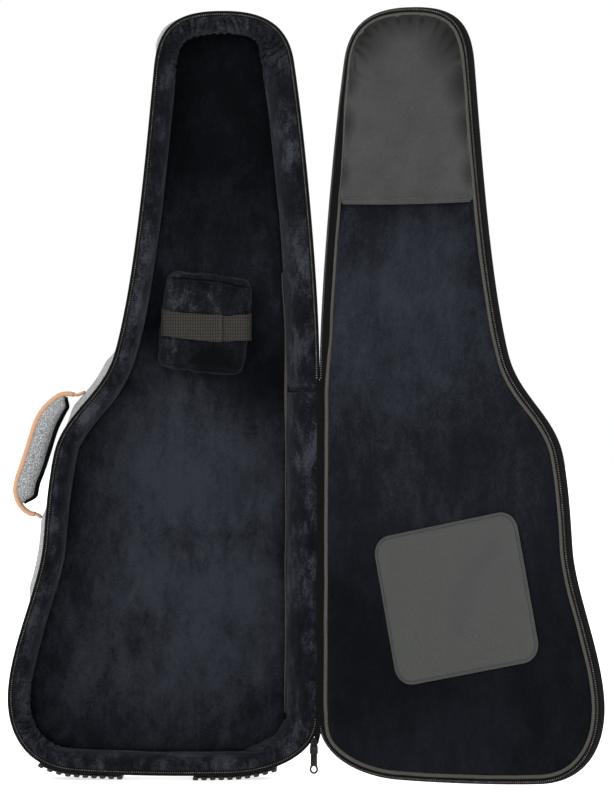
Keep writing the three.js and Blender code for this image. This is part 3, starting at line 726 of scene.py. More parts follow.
def make_studio():
    world = bpy.data.worlds.new("studio")
    world.use_nodes = True
    world.node_tree.nodes["Background"].inputs["Color"].default_value = (1, 1, 1, 1)
    world.node_tree.nodes["Background"].inputs["Strength"].default_value = 1.0
    bpy.context.scene.world = world
    bpy.context.scene.view_settings.view_transform = "Standard"
    area_light("key", (-1.5, -2.6, 2.3), (0.0, 0.0, 0.5), (1.6, 1.6), 55)
    area_light("fill", (2.2, -2.8, 1.2), (0.1, 0.0, 0.5), (1.8, 1.8), 20)
    floor_surface = moulded_material("studio_floor", (0.97, 0.97, 0.97), (0.98, 0.98, 0.98), 0.9)
    glow = floor_surface.node_tree.nodes["Principled BSDF"].inputs
    glow["Emission Color"].default_value = (1, 1, 1, 1)
    glow["Emission Strength"].default_value = 0.7
    reach = 30
    mesh = bpy.data.meshes.new("studio_floor")
    corners = [(-reach, -reach, 0), (reach, -reach, 0), (reach, reach, 0), (-reach, reach, 0)]
    mesh.from_pydata(corners, [], [(0, 1, 2, 3)])
    mesh.materials.append(floor_surface)
    floor = bpy.data.objects.new("studio_floor", mesh)
    bpy.context.scene.collection.objects.link(floor)


make_camera()
make_studio()


# ---------------------------------------------------------------- body: shell, lining and floor
def stations(controls):
    """Per-station control points: each entry is (d, y), where d may differ along the outline."""
    return np.stack([RIM.offset(d, y) for d, y in controls], axis=1)


def side_wall():
    columns = 26
    rows = flowing(stations([(RIM.outer(y), y) for y in (5, 16, 32, 50, 68, 84)]
                            + [(RIM.outer(92) + 1.2, 92), (RIM.outer(DEPTH) + 5, 96)]), columns)
    slack = wave(rows, 95, 3.0) * 1.4 + wave(rows, 34, 5.0) * 0.5
    fade = np.sin(np.linspace(0, np.pi, columns))[None, :] * (1 - RIM.lean * 0.7)[:, None]
    rows = rows + RIM.into[:, None] * (slack * fade)[..., None]
    piece = loft("side_wall_fabric", rows, HEATHER, round_rows=True)
    thicken(piece, 1.4, offset=-1)
    finish_piece(piece, "bag_body", ["side_wall"])


def gather_zones():
    """How strongly the wall lining is gathered: at the head and at the lower far corner."""
    head = smoothstep(RIM.at[:, 1], 930, 1010)
    corner = smoothstep(-RIM.at[:, 0], 330, 400) * smoothstep(-RIM.at[:, 1], -170, -60)
    return np.maximum(head, corner)


LINING_TIMES = 3  # the lining has this many rows to a station once it has swollen


def wall_lining():
    """Plush over the wall's foam, rolled over the rim and crumpled where it is gathered. Along the hinge
    side a seam is drawn in."""
    columns = 36
    seam = FLOOR + 1.5
    lip = EDGE + 5.2 * RIM.edging - 3.0 * RIM.hinge
    rows = flowing(stations([
        (lip, 3.4 - 0.8 * RIM.hinge), (lip + 1.6, 1.1 - 1.0 * RIM.hinge), (RIM.inner(4) - 12, 0.0),
        (RIM.inner(8) - 4.5, 3.4), (RIM.inner(18) + 0.8, 15), (RIM.inner(44) + 2.6, 44),
        (RIM.inner(62) + 1.5, 64), (RIM.inner(FLOOR) - 1.0, seam),
    ]), columns)
    across = np.linspace(0, 1, columns)
    fade = np.sin(np.pi * across) ** 0.5
    inward = RIM.into[:, None]
    soft = wave(rows * [1, 0.5, 0.5], 48, 2.0) * 1.5
    piece = loft("wall_lining_swelling", rows + inward * (soft * fade)[..., None], PLUSH, round_rows=True)
    gather = gather_zones()[:, None]
    pinned = [i * columns + j for i in range(RIM.count) for j in (0, 1, columns - 1)]
    inflate(piece, pressure=-0.6, cap=5, pinned=pinned, grow=0.05, loose=np.repeat(gather[:, 0], columns))
    swollen = finer(hinge_frame(piece).reshape(rows.shape), LINING_TIMES)
    bpy.data.objects.remove(piece)
    gather, lean, inward = (finer(given, LINING_TIMES) for given in (gather, RIM.lean[:, None], inward))
    around = np.linspace(0, RIM.at_length[-1], len(swollen))[:, None]
    out = unit(np.cross(np.roll(swollen, -1, 0) - np.roll(swollen, 1, 0), np.gradient(swollen, axis=1)))
    out *= np.sign((out * (inward + np.array([0, -1, 0]))).sum(axis=2))[..., None]
    crumple = wave(swollen * [1, 0.3, 1], 10, 9.0) * (0.2 + 1.7 * gather)
    phase = np.pi * around / 13 + wave(swollen, 34, 17.0) * 4.5 + across * 1.5
    valley = (1 - np.abs(np.sin(phase))) ** 1.5
    depth = gather * (2.6 + 4.6 * smoothstep(across, 0.35, 0.85)) * (0.75 + wave(swollen, 30, 18.0))
    drawn_in = 3.8 * hill(swollen[..., 2], SEAM_HEIGHT, 4.5) * lean
    surface = swollen + out * ((crumple - valley * depth - drawn_in) * fade)[..., None]
    piece = loft("wall_lining_plush", surface, PLUSH, round_rows=True)
    thicken(piece, 1.6, offset=1)
    finish_piece(piece, "bag_body", ["wall_lining", "wall_foam"])
    k = int(np.argmin(np.abs(RIM.at[:, 1] - SEAM_HEIGHT) + 1000 * (RIM.at[:, 0] < -40)))
    hinge_wall_seam(surface[LINING_TIMES * k, 2:-1] + inward[LINING_TIMES * k] * 1.6)


def hinge_wall_seam(path):
    """A flat dark seam across the hinge-side wall, level with the top of the hinge."""
    path = flowing(path, 60)
    path[:, 2] += wave(path, 22, 23.0) * 0.8 - 3 * np.sin(np.linspace(0, np.pi, len(path)))
    piece = strip("hinge_wall_seam_tape", path, (0, 0, 1), 2.8, 1.8, TAPE)
    finish_piece(piece, "bag_body")


def floor_lining():
    border = RIM.offset(RIM.inner(FLOOR) + 0.4, 0)[:, [0, 2]]

    def lift(points, inset):
        seam = 3.4 * np.exp(-inset / 9)
        return FLOOR - 1.6 + seam + wave(points, 110, 1.0) * 1.3 + wave(points, 38, 4.0) * 0.5
    piece = panel("floor_lining_plush", border, 7, lift, PLUSH_FLOOR)
    thicken(piece, 1.8, offset=-1)
    finish_piece(piece, "bag_body", ["floor_lining", "back_foam"])


# ---------------------------------------------------------------- more building blocks
def inset_loop(border, by):
    """A loop moved in from a counter-clockwise border of (x, z) points."""
    along = unit(np.roll(border, -1, axis=0) - np.roll(border, 1, axis=0))
    return border + np.column_stack([-along[:, 1], along[:, 0]]) * by


def slab(name, border, levels, material, on_lid=False):
    """A closed solid whose sides pass through levels of (y, inset)."""
    rows = [in_space(inset_loop(border, inset), y) for y, inset in levels]
    piece = bar(name, rows, material, on_lid)
    piece.data.set_sharp_from_angle(angle=math.radians(50))
    return piece


def joined(keep, *others):
    """Welds the other meshes to the first where they meet."""
    work = bmesh.new()
    for piece in (keep, *others):
        work.from_mesh(piece.data)
    bmesh.ops.remove_doubles(work, verts=work.verts, dist=0.05 * MM)
    bmesh.ops.recalc_face_normals(work, faces=work.faces)
    work.to_mesh(keep.data)
    work.free()
    for piece in others:
        bpy.data.objects.remove(piece)
    return keep


def skin(name, border, levels, spacing, lift, material, on_lid=False):
    """Sides through levels of (y, inset), and a face inside the last; lift(points, inset) raises the face."""
    rows = [in_space(inset_loop(border, inset), y) for y, inset in levels]
    sides = loft(name + "_sides", rows, material, False, True, False, on_lid)
    top = levels[-1][0]
    face = panel(name, rows[-1][:, [0, 2]], spacing, lambda p, inset: top + lift(p, inset), material, on_lid)
    return joined(face, sides)


def strip(name, path, across, width, thickness, material, on_lid=False, arch=0.0, columns=9):
    """A thin strip with rounded edges along a path. across is the direction of its width."""
    path = np.asarray(path, float)
    along = unit(np.gradient(path, axis=0))
    across = np.broadcast_to(np.asarray(across, float), along.shape)
    across = unit(across - along * (across * along).sum(axis=1)[:, None])
    normal = np.cross(along, across)
    width = np.broadcast_to(width, len(path))
    u = np.linspace(-1, 1, columns)
    half = thickness / 2
    section = ([(k, half) for k in u] + [(1.0, 0.0)] + [(k, -half) for k in u[::-1]] + [(-1.0, 0.0)])
    rows = []
    for k in range(len(path)):
        flat = width[k] / 2 - half
        row = [path[k] + across[k] * (a * flat + (half * np.sign(a) if b == 0 else 0))
               + normal[k] * (b + arch * (1 - a * a)) for a, b in section]
        rows.append(row)
    return bar(name, rows, material, on_lid)


# ---------------------------------------------------------------- body shell
def back_panel():
    border = RIM.offset(RIM.outer(DEPTH) + 7.6, 0)[:, [0, 2]]

    def lift(points, inset):
        crown = 1.6 * (1 - np.exp(-inset / 30))
        return DEPTH - 0.6 + crown + wave(points, 120, 6.0) * 0.9 + wave(points, 40, 8.0) * 0.35
    piece = panel("back_panel_fabric", border, 9, lift, HEATHER)
    thicken(piece, 1.2, offset=1)
    finish_piece(piece, "bag_body", ["back_panel"])
    piping = tube("back_piping_cord", RIM.offset(RIM.outer(DEPTH) + 6.4, 97.6), 2.0, TRIM, closed=True)
    finish_piece(piping, "bag_body", ["back_piping"])


def corner_pad():
    """A soft pad in the corner under the hinge, drawn into folds at its ends."""
    first, last = RIM.arc_span(10, 0.12, 0.97)
    picked = np.arange(first, last)
    t = np.linspace(0, 1, len(picked))
    fat = np.sin(np.pi * t) ** 0.45
    profile = [(0.5, 10), (7, 17), (10.5, 32), (10.5, 50), (8, 64), (1, 73), (-3, 60), (-4, 40), (-3, 20)]
    middle_d, middle_y = 2.0, 42.0  # what the profile shrinks towards at the pad's ends
    rows = []
    for k, station in enumerate(picked):
        row = []
        for d, y in ring(profile, 27):
            depth = middle_y + (y - middle_y) * fat[k]
            inset = RIM.inner(depth)[station] + middle_d + (d - middle_d) * fat[k]
            at = RIM.at[station] + RIM.inward[station] * inset
            row.append((at[0], depth, at[1]))
        rows.append(row)
    rows = np.array(rows)
    fold = wave(rows * [1, 0.35, 1], 13, 14.0) * 2.6 + wave(rows, 24, 15.0) * 1.6
    rows += RIM.into[picked][:, None] * (fold * fat[:, None])[..., None]
    piece = bar("corner_pad_plush", rows, PLUSH)
    finish_piece(piece, "bag_body", ["corner_pad"])


def floor_piping():
    """A cord in the seam between the floor and the hinge-side wall, fullest where the wall is seamed."""
    picked = np.arange(np.argmax(RIM.at[:, 1] > 700))
    height = RIM.at[picked, 1]
    fullest = hill(height, SEAM_HEIGHT, 45)
    hidden = smoothstep(height, 590, 650) + 0.8 * hill(height, 215, 80)
    path = RIM.offset(RIM.inner(74) + 2.2, 73.4)[picked]
    path[:, 1] += 1.6 * hidden + wave(path, 30, 7.0) * 0.4
    path[:, 0] += wave(path * [0, 0, 1], 60, 8.0) * 1.1
    girth = 1.0 + 1.9 * fullest + 0.25 * wave(path, 26, 6.0)
    piece = tube("floor_piping_cord", path, girth[:, None, None], TRIM)
    finish_piece(piece, "bag_body", ["floor_piping"])


# ---------------------------------------------------------------- zip, tapes and gussets
TOOTH_STEP = 3.1
TOOTH = (1.7, 3.0, 1.9)  # length along the zip, width, height
# the tape's section: (distance from the rim's edge, distance from the plane where the rims meet)
TAPE_SECTION = [(-0.2, 7.0), (-0.5, 4.0), (-0.1, 1.6), (1.5, 0.9), (3.0, 1.9), (6.0, 3.0), (8.6, 4.2)]


def tooth_line(on_lid):
    """Where the teeth run: on the lid they sit nearer to the edge and flush with the tape."""
    return RIM.offset(EDGE + 1.3, -0.85) if on_lid else RIM.offset(EDGE + 2.8, 1.5)


def open_stations():
    """The stations where the lid isn't hinged, in order round the outline."""
    run = np.where(~RIM.hinge)[0]
    return np.roll(run, -int(np.argmax(np.diff(run) > 1)) - 1)


def zip_half(name, side, body, chain_node, tape_node):
    """Tape and teeth of one half. side is 1 on the bag and -1 on the lid."""
    on_lid = side < 0
    controls = [(EDGE + d * RIM.edging + 1.2 * RIM.hinge, side * y) for d, y in TAPE_SECTION]
    rows = flowing(stations(controls), 13)
    tape = loft(name + "_zip_tape_weave", rows, TAPE, round_rows=True, on_lid=on_lid)
    thicken(tape, 0.8, offset=-side)
    finish_piece(tape, body, [tape_node])
    path = tooth_line(on_lid)[open_stations()]
    teeth = barrels(name + "_zip_teeth", path, TOOTH_STEP, TOOTH, TEETH, on_lid=on_lid)
    finish_piece(teeth, body, [chain_node])
    seam = RIM.offset(EDGE + 4.6 * RIM.edging, side * 2.2)
    stitches = barrels(name + "_tape_stitches", seam, 3.6, (2.6, 0.7, 0.6), DARK_THREAD, True, on_lid)
    finish_piece(stitches, body)


def zip_bridge():
    """The closed end of the zip, from the foot of the hinge down to the parked slider."""
    path = flowing([(1, -0.6, HINGE_LOW + 8), (0.8, -0.8, HINGE_LOW - 10), (-0.6, -1.0, 62),
                    (-2.6, -1.2, 50)], 30)
    width = 6 + 2 * np.sin(np.linspace(0, np.pi, len(path)))
    tape = strip("zip_bridge_tape", path, (1, 0, 0), width, 1.6, TAPE)
    finish_piece(tape, "bag_body")


def hinge_fold():
    """Folded cloth that joins the two rims along the hinge line."""
    low, high = HINGE_LOW + 6, HINGE_HIGH - 4
    sewn_x, sewn_y = -3.6, 2.4  # where the cloth is sewn to each rim, inside its edge
    body_side = np.array([sewn_x, sewn_y])
    lid_side = np.array(turned(sewn_x, -sewn_y, LID_OPEN))
    crown = np.array([0.0, -0.8])
    bend = flowing([body_side, body_side * 0.5 + crown * 0.6, crown,
                    lid_side * 0.5 + crown * 0.6, lid_side], 13)
    rows = np.array([[(x, y, z) for x, y in bend] for z in np.linspace(low, high, 90)])
    rows[..., 1] += wave(rows * [1, 1, 0.4], 12, 21.0) * 0.5
    piece = loft("hinge_fold_cloth", rows, TAPE)
    thicken(piece, 0.8, offset=0)
    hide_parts("hinge_gusset")
    middle = place([[sewn_x, sewn_y, PIVOT_HEIGHT], [-sewn_x, 0, PIVOT_HEIGHT]])
    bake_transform(piece)


# ---------------------------------------------------------------- neck pillow
PILLOW_MIDDLE = (-158, 626)
PILLOW_WIDTH = 126
PILLOW_HEIGHT = 140
PILLOW_TILT = -0.1
PILLOW_FRONT = 34.5
STRAP_WIDTH = 39
STRAP_DROP = -5
STRAP_LAP = -134  # where the upper end of the strap stops, over the tab


def strap_middle(x):
    """Height of the strap's centre line, which falls a little towards the hinge side."""
    return PILLOW_MIDDLE[1] + STRAP_DROP + (x - PILLOW_MIDDLE[0]) * PILLOW_TILT * 0.5


def neck_pillow():
    border = rounded_border(PILLOW_MIDDLE, PILLOW_WIDTH - 8, PILLOW_HEIGHT - 8, 13, PILLOW_TILT)
    front, back = PILLOW_FRONT + 3, FLOOR - 1.2  # the cloth swells past these
    pillow = slab("neck_pillow_plush", border, [(back, 3), (back - 8, 0), (55, -1), (front + 9, 0),
                                                (front + 2, 3), (front, 9)], PLUSH_PILLOW)
    remesh = pillow.modifiers.new("voxels", "REMESH")
    remesh.mode = "VOXEL"
    remesh.voxel_size = 4 * MM
    bake_modifiers(pillow)
    held = [v.index for v in pillow.data.vertices if v.co.y > ORIGIN.y + (back - 3) * MM]
    inflate(pillow, pressure=4.0, cap=4.5, pinned=held)
    rounder = pillow.modifiers.new("rounder", "SUBSURF")
    rounder.levels = rounder.render_levels = 1
    bake_modifiers(pillow)
    pillow.data.polygons.foreach_set("use_smooth", [True] * len(pillow.data.polygons))
    local = hinge_frame(pillow)
    x, y, z = local.T
    facing = smoothstep(-y, -(PILLOW_FRONT + 22), -(PILLOW_FRONT + 6))
    off_strap = np.abs(z - strap_middle(x)) / (STRAP_WIDTH / 2)
    groove = 3.6 * np.exp(-off_strap ** 6) * facing
    aside, up = turned(x - PILLOW_MIDDLE[0], z - PILLOW_MIDDLE[1], -PILLOW_TILT)
    seam_line = PILLOW_HEIGHT / 2 - 11 - 4 * smoothstep(aside, 10, 50) + 1.6 * wave(local, 14, 31.0)
    seam = 4.2 * hill(up, seam_line, 2.2) * facing
    low_line = -PILLOW_HEIGHT / 2 + 8 + 2.0 * wave(local, 18, 33.0)
    seam += 2.2 * hill(up, low_line, 2.4) * facing
    near_strap = hill(off_strap, 1.25, 0.5)
    folds = wave(local * [0.9, 1, 0.35], 12, 35.0) * (0.7 + 1.8 * near_strap) + wave(local, 28, 36.0) * 1.6
    local[:, 1] += groove + seam - folds * facing
    edge = smoothstep(np.abs(up), PILLOW_HEIGHT / 2 - 12, PILLOW_HEIGHT / 2)
    local[:, 2] += edge * np.sign(up) * (wave(local * [1, 0.6, 1], 16, 37.0) * 2.4)
    side = smoothstep(np.abs(aside), PILLOW_WIDTH / 2 - 12, PILLOW_WIDTH / 2)
    local[:, 0] += side * np.sign(aside) * wave(local * [1, 0.6, 1], 18, 38.0) * 1.8
    move_to(pillow, local)
    finish_piece(pillow, "bag_body", ["neck_pillow"])
    return pillow


def neck_straps(pillow):
    left = PILLOW_MIDDLE[0] - PILLOW_WIDTH / 2
    right = PILLOW_MIDDLE[0] + PILLOW_WIDTH / 2
    top = 31.4  # depth of the webbing over the pillow's face

    def path(points):
        return flowing([(x, y, strap_middle(x) + rise) for x, y, rise in points], 30)

    upper = path([(left + 4, top + 18, 3), (left + 4.5, top + 8, 3), (left + 11, top + 1.6, 2),
                  (left + 30, top, 0), (left + 60, top - 0.4, -1), (STRAP_LAP, top - 0.2, -1)])
    narrow = STRAP_WIDTH - 3.5 * np.sin(np.linspace(0, np.pi, 30))
    strap = strip("neck_strap_webbing", upper, (0, 0, 1), narrow, 1.5, WEBBING)
    finish_piece(strap, "strap", ["neck_strap"])
    lower = path([(STRAP_LAP - 20, top + 1.7, -1), (STRAP_LAP + 8, top + 1.4, -1), (right - 18, top + 1.8, 1),
                  (right - 5, top + 4, 2), (right + 0.5, top + 12, 3), (right - 0.5, top + 20, 4)])
    wider = STRAP_WIDTH - 4.0 * np.cos(np.linspace(0, np.pi / 2, 30))
    tab = strip("neck_strap_tab_webbing", lower, (0, 0, 1), wider, 1.5, WEBBING)
    finish_piece(tab, "strap_tab", ["neck_strap_tab"])
    hem = [(STRAP_LAP - 2.4, top - 1.3, strap_middle(STRAP_LAP) - 1 + u) for u in (-17, 0, 17)]
    stitches = barrels("neck_strap_hem_stitches", hem, 3.2, (2.4, 0.9, 0.7), WEB_THREAD)
    finish_piece(stitches, "strap")
    fold = [(STRAP_LAP + 0.2, top - 0.6, strap_middle(STRAP_LAP) - 1 + u) for u in (-18, 0, 18)]
    lip = tube("neck_strap_end_fold", flowing(fold, 12), 1.1, WEBBING)
    finish_piece(lip, "strap")


# ---------------------------------------------------------------- feet
RIB_PITCH = 11.8
RIB_COUNT = 10
RIB_ENDS = (10, 90)  # the depths between which the ribs run


def base_frame(x):
    """The outline's lowest edge at x, and the outward direction there."""
    low = np.where((RIM.at[:, 1] < 70) & (RIM.inward[:, 1] > 0.3))[0]
    low = low[np.argsort(RIM.at[low, 0])]
    at = np.array([x, np.interp(x, RIM.at[low, 0], RIM.at[low, 1])])
    out = -np.array([np.interp(x, RIM.at[low, 0], RIM.inward[low, k]) for k in (0, 1)])
    return at, out / np.linalg.norm(out)


def foot_strip(name, first_x, node):
    """Ten rubber ribs on a web; each rib is a bar with a round tip and softened ends."""
    rib = [(-2.7, 3.0), (-2.9, 4.6), (-3.9, 5.5), (-3.7, 6.7), (-2.4, 7.5), (0, 7.7), (2.4, 7.5), (3.7, 6.7),
           (3.9, 5.5), (2.9, 4.6), (2.7, 3.0), (0, 2.6)]
    pieces = []
    for k in range(RIB_COUNT):
        at, out = base_frame(first_x + k * RIB_PITCH)
        along = np.array([-out[1], out[0]])
        rows = []
        for y, shrink in ((RIB_ENDS[0], 0.80), (RIB_ENDS[0] + 0.7, 0.95), (RIB_ENDS[0] + 2, 1.0),
                          (RIB_ENDS[1] - 2, 1.0), (RIB_ENDS[1] - 0.7, 0.95), (RIB_ENDS[1], 0.80)):
            ring = [at + along * u * shrink + out * (5 + (v - 5) * shrink) for u, v in rib]
            rows.append([(p[0], y, p[1]) for p in ring])
        pieces.append(bar(f"{name}_rib_{k}", rows, RUBBER))
    path = []
    for x in np.linspace(first_x - 3, first_x + (RIB_COUNT - 1) * RIB_PITCH + 3, 24):
        at, out = base_frame(x)
        spot = at + out * 3.6
        path.append((spot[0], sum(RIB_ENDS) / 2, spot[1]))
    web = strip(f"{name}_web", path, (0, 1, 0), RIB_ENDS[1] - RIB_ENDS[0] - 1, 2.2, RUBBER)
    piece = joined(web, *pieces)
    piece.name = name
    piece.data.set_sharp_from_angle(angle=math.radians(38))
    finish_piece(piece, "bag_body", [node])


# ---------------------------------------------------------------- side handle
# (x, z) points along the handle's band, from its upper end to its lower one
HANDLE_PATH = [(-338, 527), (-346, 528), (-357, 526), (-372, 515), (-383, 502), (-391, 486), (-400, 457),
               (-409, 429), (-415, 413), (-418, 394), (-414, 379), (-407, 369), (-398, 363), (-391, 362)]
MID = DEPTH / 2
BAND_WIDTH = 38
BAND_THICK = 5
GRIP_FROM = 0.085  # shares of the band's length
GRIP_TO = 0.86
GRIP_RADIAL = 26.4  # how far the grip reaches in from the band
GRIP_WIDTH = 36
GRIP_ENDS = 0.12  # share of the grip over which it fills out
FLATTEST = 0.4  # limits how far the grip stands off where the band turns away


class HandleLine:
    """Evenly spaced points along the handle, with the direction towards the bag at each."""

    def __init__(self, count):
        dense = flowing([(x, MID, z) for x, z in HANDLE_PATH], 400)
        run = run_along(dense)
        self.at = points_at(np.linspace(0, run[-1], count), run, dense)
        along = unit(np.gradient(self.at, axis=0))
        self.inward = np.column_stack([-along[:, 2], np.zeros(count), along[:, 0]])
        self.t = np.linspace(0, 1, count)


def handle_band():
    line = HandleLine(90)
    band = strip("handle_band_leather", line.at, (0, 1, 0), BAND_WIDTH, BAND_THICK + 0.8, LEATHER, arch=0.4)
    finish_piece(band, "side_handle", ["handle_band"])
    for side, label in ((-1, "front"), (1, "back")):
        edge = line.at - line.inward * (BAND_THICK / 2 + 0.5)
        edge = edge + [0, side * (BAND_WIDTH / 2 - 4), 0]
        stitches = barrels(f"handle_band_stitches_{label}", edge[2:-2], 4.2, (3.0, 1.0, 0.8), TAN_THREAD,
                           up=(1, 0, 0.2))
        finish_piece(stitches, "side_handle")


def handle_end(name, node, corner, tip, station_near):
    """A leather tab that runs from the end of the band down onto the side wall and is sewn there."""
    k = int(np.argmin(np.linalg.norm(RIM.at - station_near, axis=1)))
    outward = -RIM.inward[k]
    along = np.array([-outward[1], outward[0]])
    away = along if np.dot(along, np.array(station_near) - np.array(tip)) > 0 else -along
    base = RIM.at[k] - outward * RIM.outer(MID)[k]
    spots = [tip, corner, base + outward * 1.8, base + outward * 0.6 + away * 1.5]
    path = flowing([(p[0], MID, p[1]) for p in spots], 40)
    width = BAND_WIDTH - 2 - 2 * np.linspace(0, 1, 40)
    piece = strip(name, path, (0, 1, 0), width, 3.8, LEATHER)
    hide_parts(node)
    start = place([[base[0] + outward[0] * 2, MID, base[1] + outward[1] * 2]])[0]
    end = place([[tip[0], MID, tip[1]]])[0]
    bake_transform(piece)


def handle_grip():
    """A straight padded bar of marled cloth under the band, creased where it is drawn in at each end."""
    line = HandleLine(161)
    picked = np.where((line.t >= GRIP_FROM) & (line.t <= GRIP_TO))[0]
    t = np.linspace(0, 1, len(picked))
    chord = np.array(HANDLE_PATH[0], float) - np.array(HANDLE_PATH[-1], float)
    chord /= np.linalg.norm(chord)
    into = np.array([chord[1], 0, -chord[0]])
    fullness = smoothstep(np.minimum(t, 1 - t) / GRIP_ENDS, -0.35, 1)
    off = (BAND_THICK / 2 - 1.2) / np.maximum(FLATTEST, line.inward[picked] @ into)
    section = [(0, -0.80), (0.06, -0.95), (0.35, -1.02), (0.72, -0.90), (0.97, -0.52), (1.0, 0), (0.97, 0.52),
               (0.72, 0.90), (0.35, 1.02), (0.06, 0.95), (0, 0.80), (-0.02, 0)]
    closed = ring(section, 44)
    start = line.at[picked] + into * off[:, None]
    reach = GRIP_RADIAL * fullness * (1 - 0.20 * hill(t, 0.07, 0.11)) + 1.2
    half = GRIP_WIDTH / 2 * (0.8 + 0.2 * fullness)
    rows = (start[:, None] + into * (closed[None, :, :1] * reach[:, None, None])
            + np.array([0, 1, 0]) * (closed[None, :, 1:] * half[:, None, None]))
    middle = rows.mean(axis=1, keepdims=True)
    near_end = np.exp(-np.minimum(t, 1 - t) / 0.06)
    crease = wave(rows * [0.5, 1.6, 0.5], 9, 41.0) * (0.4 + 2.2 * near_end)[:, None]
    crease += wave(rows, 30, 42.0) * 0.9
    rows = rows + unit(rows - middle) * crease[..., None]
    grip = bar("handle_grip_padded", rows, HEATHER)
    grip.data.set_sharp_from_angle(angle=math.radians(60))
    finish_piece(grip, "side_handle", ["handle_grip"])
    under = start + into * (reach + 1.3)[:, None]
    strap = strip("handle_underside_webbing", under, (0, 1, 0), 19 * (0.85 + 0.15 * fullness), 3.4, TAPE)
    finish_piece(strap, "side_handle", ["handle_underside"])
    for side, label in ((-1, "front"), (1, "back")):
        seam = under - into * 2.2 + [0, side * 10.6, 0]
        cord = tube(f"handle_grip_binding_{label}", seam[4:-4], 1.6, TAPE)
        finish_piece(cord, "side_handle")


# ---------------------------------------------------------------- sliders and pullers
SLIDER_X = -5.5


def main_slider():
    x, low, high, half = SLIDER_X, 36, 58, 5.6
    corners = np.array([(x - half, low), (x + half, low), (x + half, low + 8), (x + half - 1.4, high - 4),
                        (x + 2.4, high), (x - 2.4, high), (x - half + 1.4, high - 4), (x - half, low + 8)])
    border, _ = along_path(in_space(corners, 0), 1.2, closed=True)
    border = border[:, [0, 2]]
    front = slab("zip_slider_front", border, [(-4.8, 1.3), (-4.4, 0.4), (-3.4, 0), (-2.6, 0.3)], METAL)
    back = slab("zip_slider_back", border, [(2.6, 0.3), (3.4, 0), (4.4, 0.4), (4.8, 1.3)], METAL)
    post_border = rounded_border((x, high - 5), 4, 5, 1.6, 0, 4, 0.7)
    post = slab("zip_slider_post", post_border, [(-3, 0), (3, 0)], METAL)
    bridge_path = flowing([(x, -4.2, high - 4), (x, -7.2, high - 7), (x, -8.6, 45), (x, -7.4, low + 5),
                           (x, -4.2, low + 3)], 18)
    bridge = strip("zip_slider_bridge", bridge_path, (1, 0, 0), 3.0, 1.2, METAL, columns=5)
    whole = joined(front, back, post, bridge)
    whole.name = "zip_slider_cast"
    whole.data.set_sharp_from_angle(angle=math.radians(40))
    finish_piece(whole, "bag_body", ["zip_slider"])


def puller(name, pivot, length, y, thick, head, hole, neck, material, on_lid=False):
    """A flat pull tab with a round eye in its lower end. head and hole are (half width, half height)."""
    x, z = pivot
    eye = z - length + head[1]
    shank_from = 0.25  # the sine above which the outline is the shank, rising from the eye to the pivot
    angles = np.linspace(-0.5 * math.pi, 1.5 * math.pi, 49)[:-1]
    outer, inner = [], []
    for a in angles:
        ca, sa = math.cos(a), math.sin(a)
        ray = (x + head[0] * ca, eye + head[1] * sa)
        if sa > shank_from:
            reach = (sa - shank_from) / (1 - shank_from)
            ray = (x + neck * np.sign(ca) * min(1, abs(ca) / 0.22 + 0.55) if abs(ca) > 1e-6 else x,
                   eye + head[1] * 0.6 + (z + 3 - eye - head[1] * 0.6) * reach ** 0.8)
        outer.append(ray)
        inner.append((x + hole[0] * ca, eye + hole[1] * sa))
    outer, inner = np.array(outer), np.array(inner)
    bevel = 0.35
    front, back = y - thick / 2, y + thick / 2
    levels = [(front, bevel), (front + bevel, 0), (back - bevel, 0), (back, bevel)]
    rows = [in_space(inset_loop(outer, inset), level) for level, inset in levels]
    rows += [in_space(inset_loop(inner, -inset), level) for level, inset in levels[::-1]]
    piece = loft(name, rows, material, True, True, False, on_lid)
    piece.data.set_sharp_from_angle(angle=math.radians(35))
    return piece


def main_puller():
    tab = puller("zip_puller_cast", (SLIDER_X, 43), 34, -8.4, 2.0, (5.9, 6.6), (3.3, 4.0), 4.5, METAL)
    finish_piece(tab, "main_puller", ["zip_puller"])


# ---------------------------------------------------------------- lid
def lid_shell():
    border = RIM.at + RIM.inward * EDGE
    levels = [(-5.4, 0.2), (-7, 0), (-12, -0.3), (-16, 0.2), (-18.8, 1.3), (-20.8, 3.4), (-22, 7.5),
              (-22.4, 12)]

    def lift(points, inset):
        puff = 1.4 * (1 - np.exp(-inset / 40))
        slack = wave(points, 110, 51.0) * 1.2 * (1 - np.exp(-inset / 25)) + wave(points, 42, 52.0) * 0.35
        return -puff - slack
    piece = skin("lid_shell_fabric", border, levels, 10, lift, HEATHER, on_lid=True)
    thicken(piece, 1.2, offset=-1)
    finish_piece(piece, "lid", ["lid_shell"])
    path = in_space(inset_loop(border, 3.0), -20.6)
    seam = tube("lid_shell_piping", path, 1.7, TRIM, closed=True, on_lid=True)
    finish_piece(seam, "lid")


PANEL_ROOM = 5.0  # the lining lies this much lower behind the headstock panel


def under_panel(height):
    return PANEL_ROOM * smoothstep(height, HEM - 40, HEM - 6)


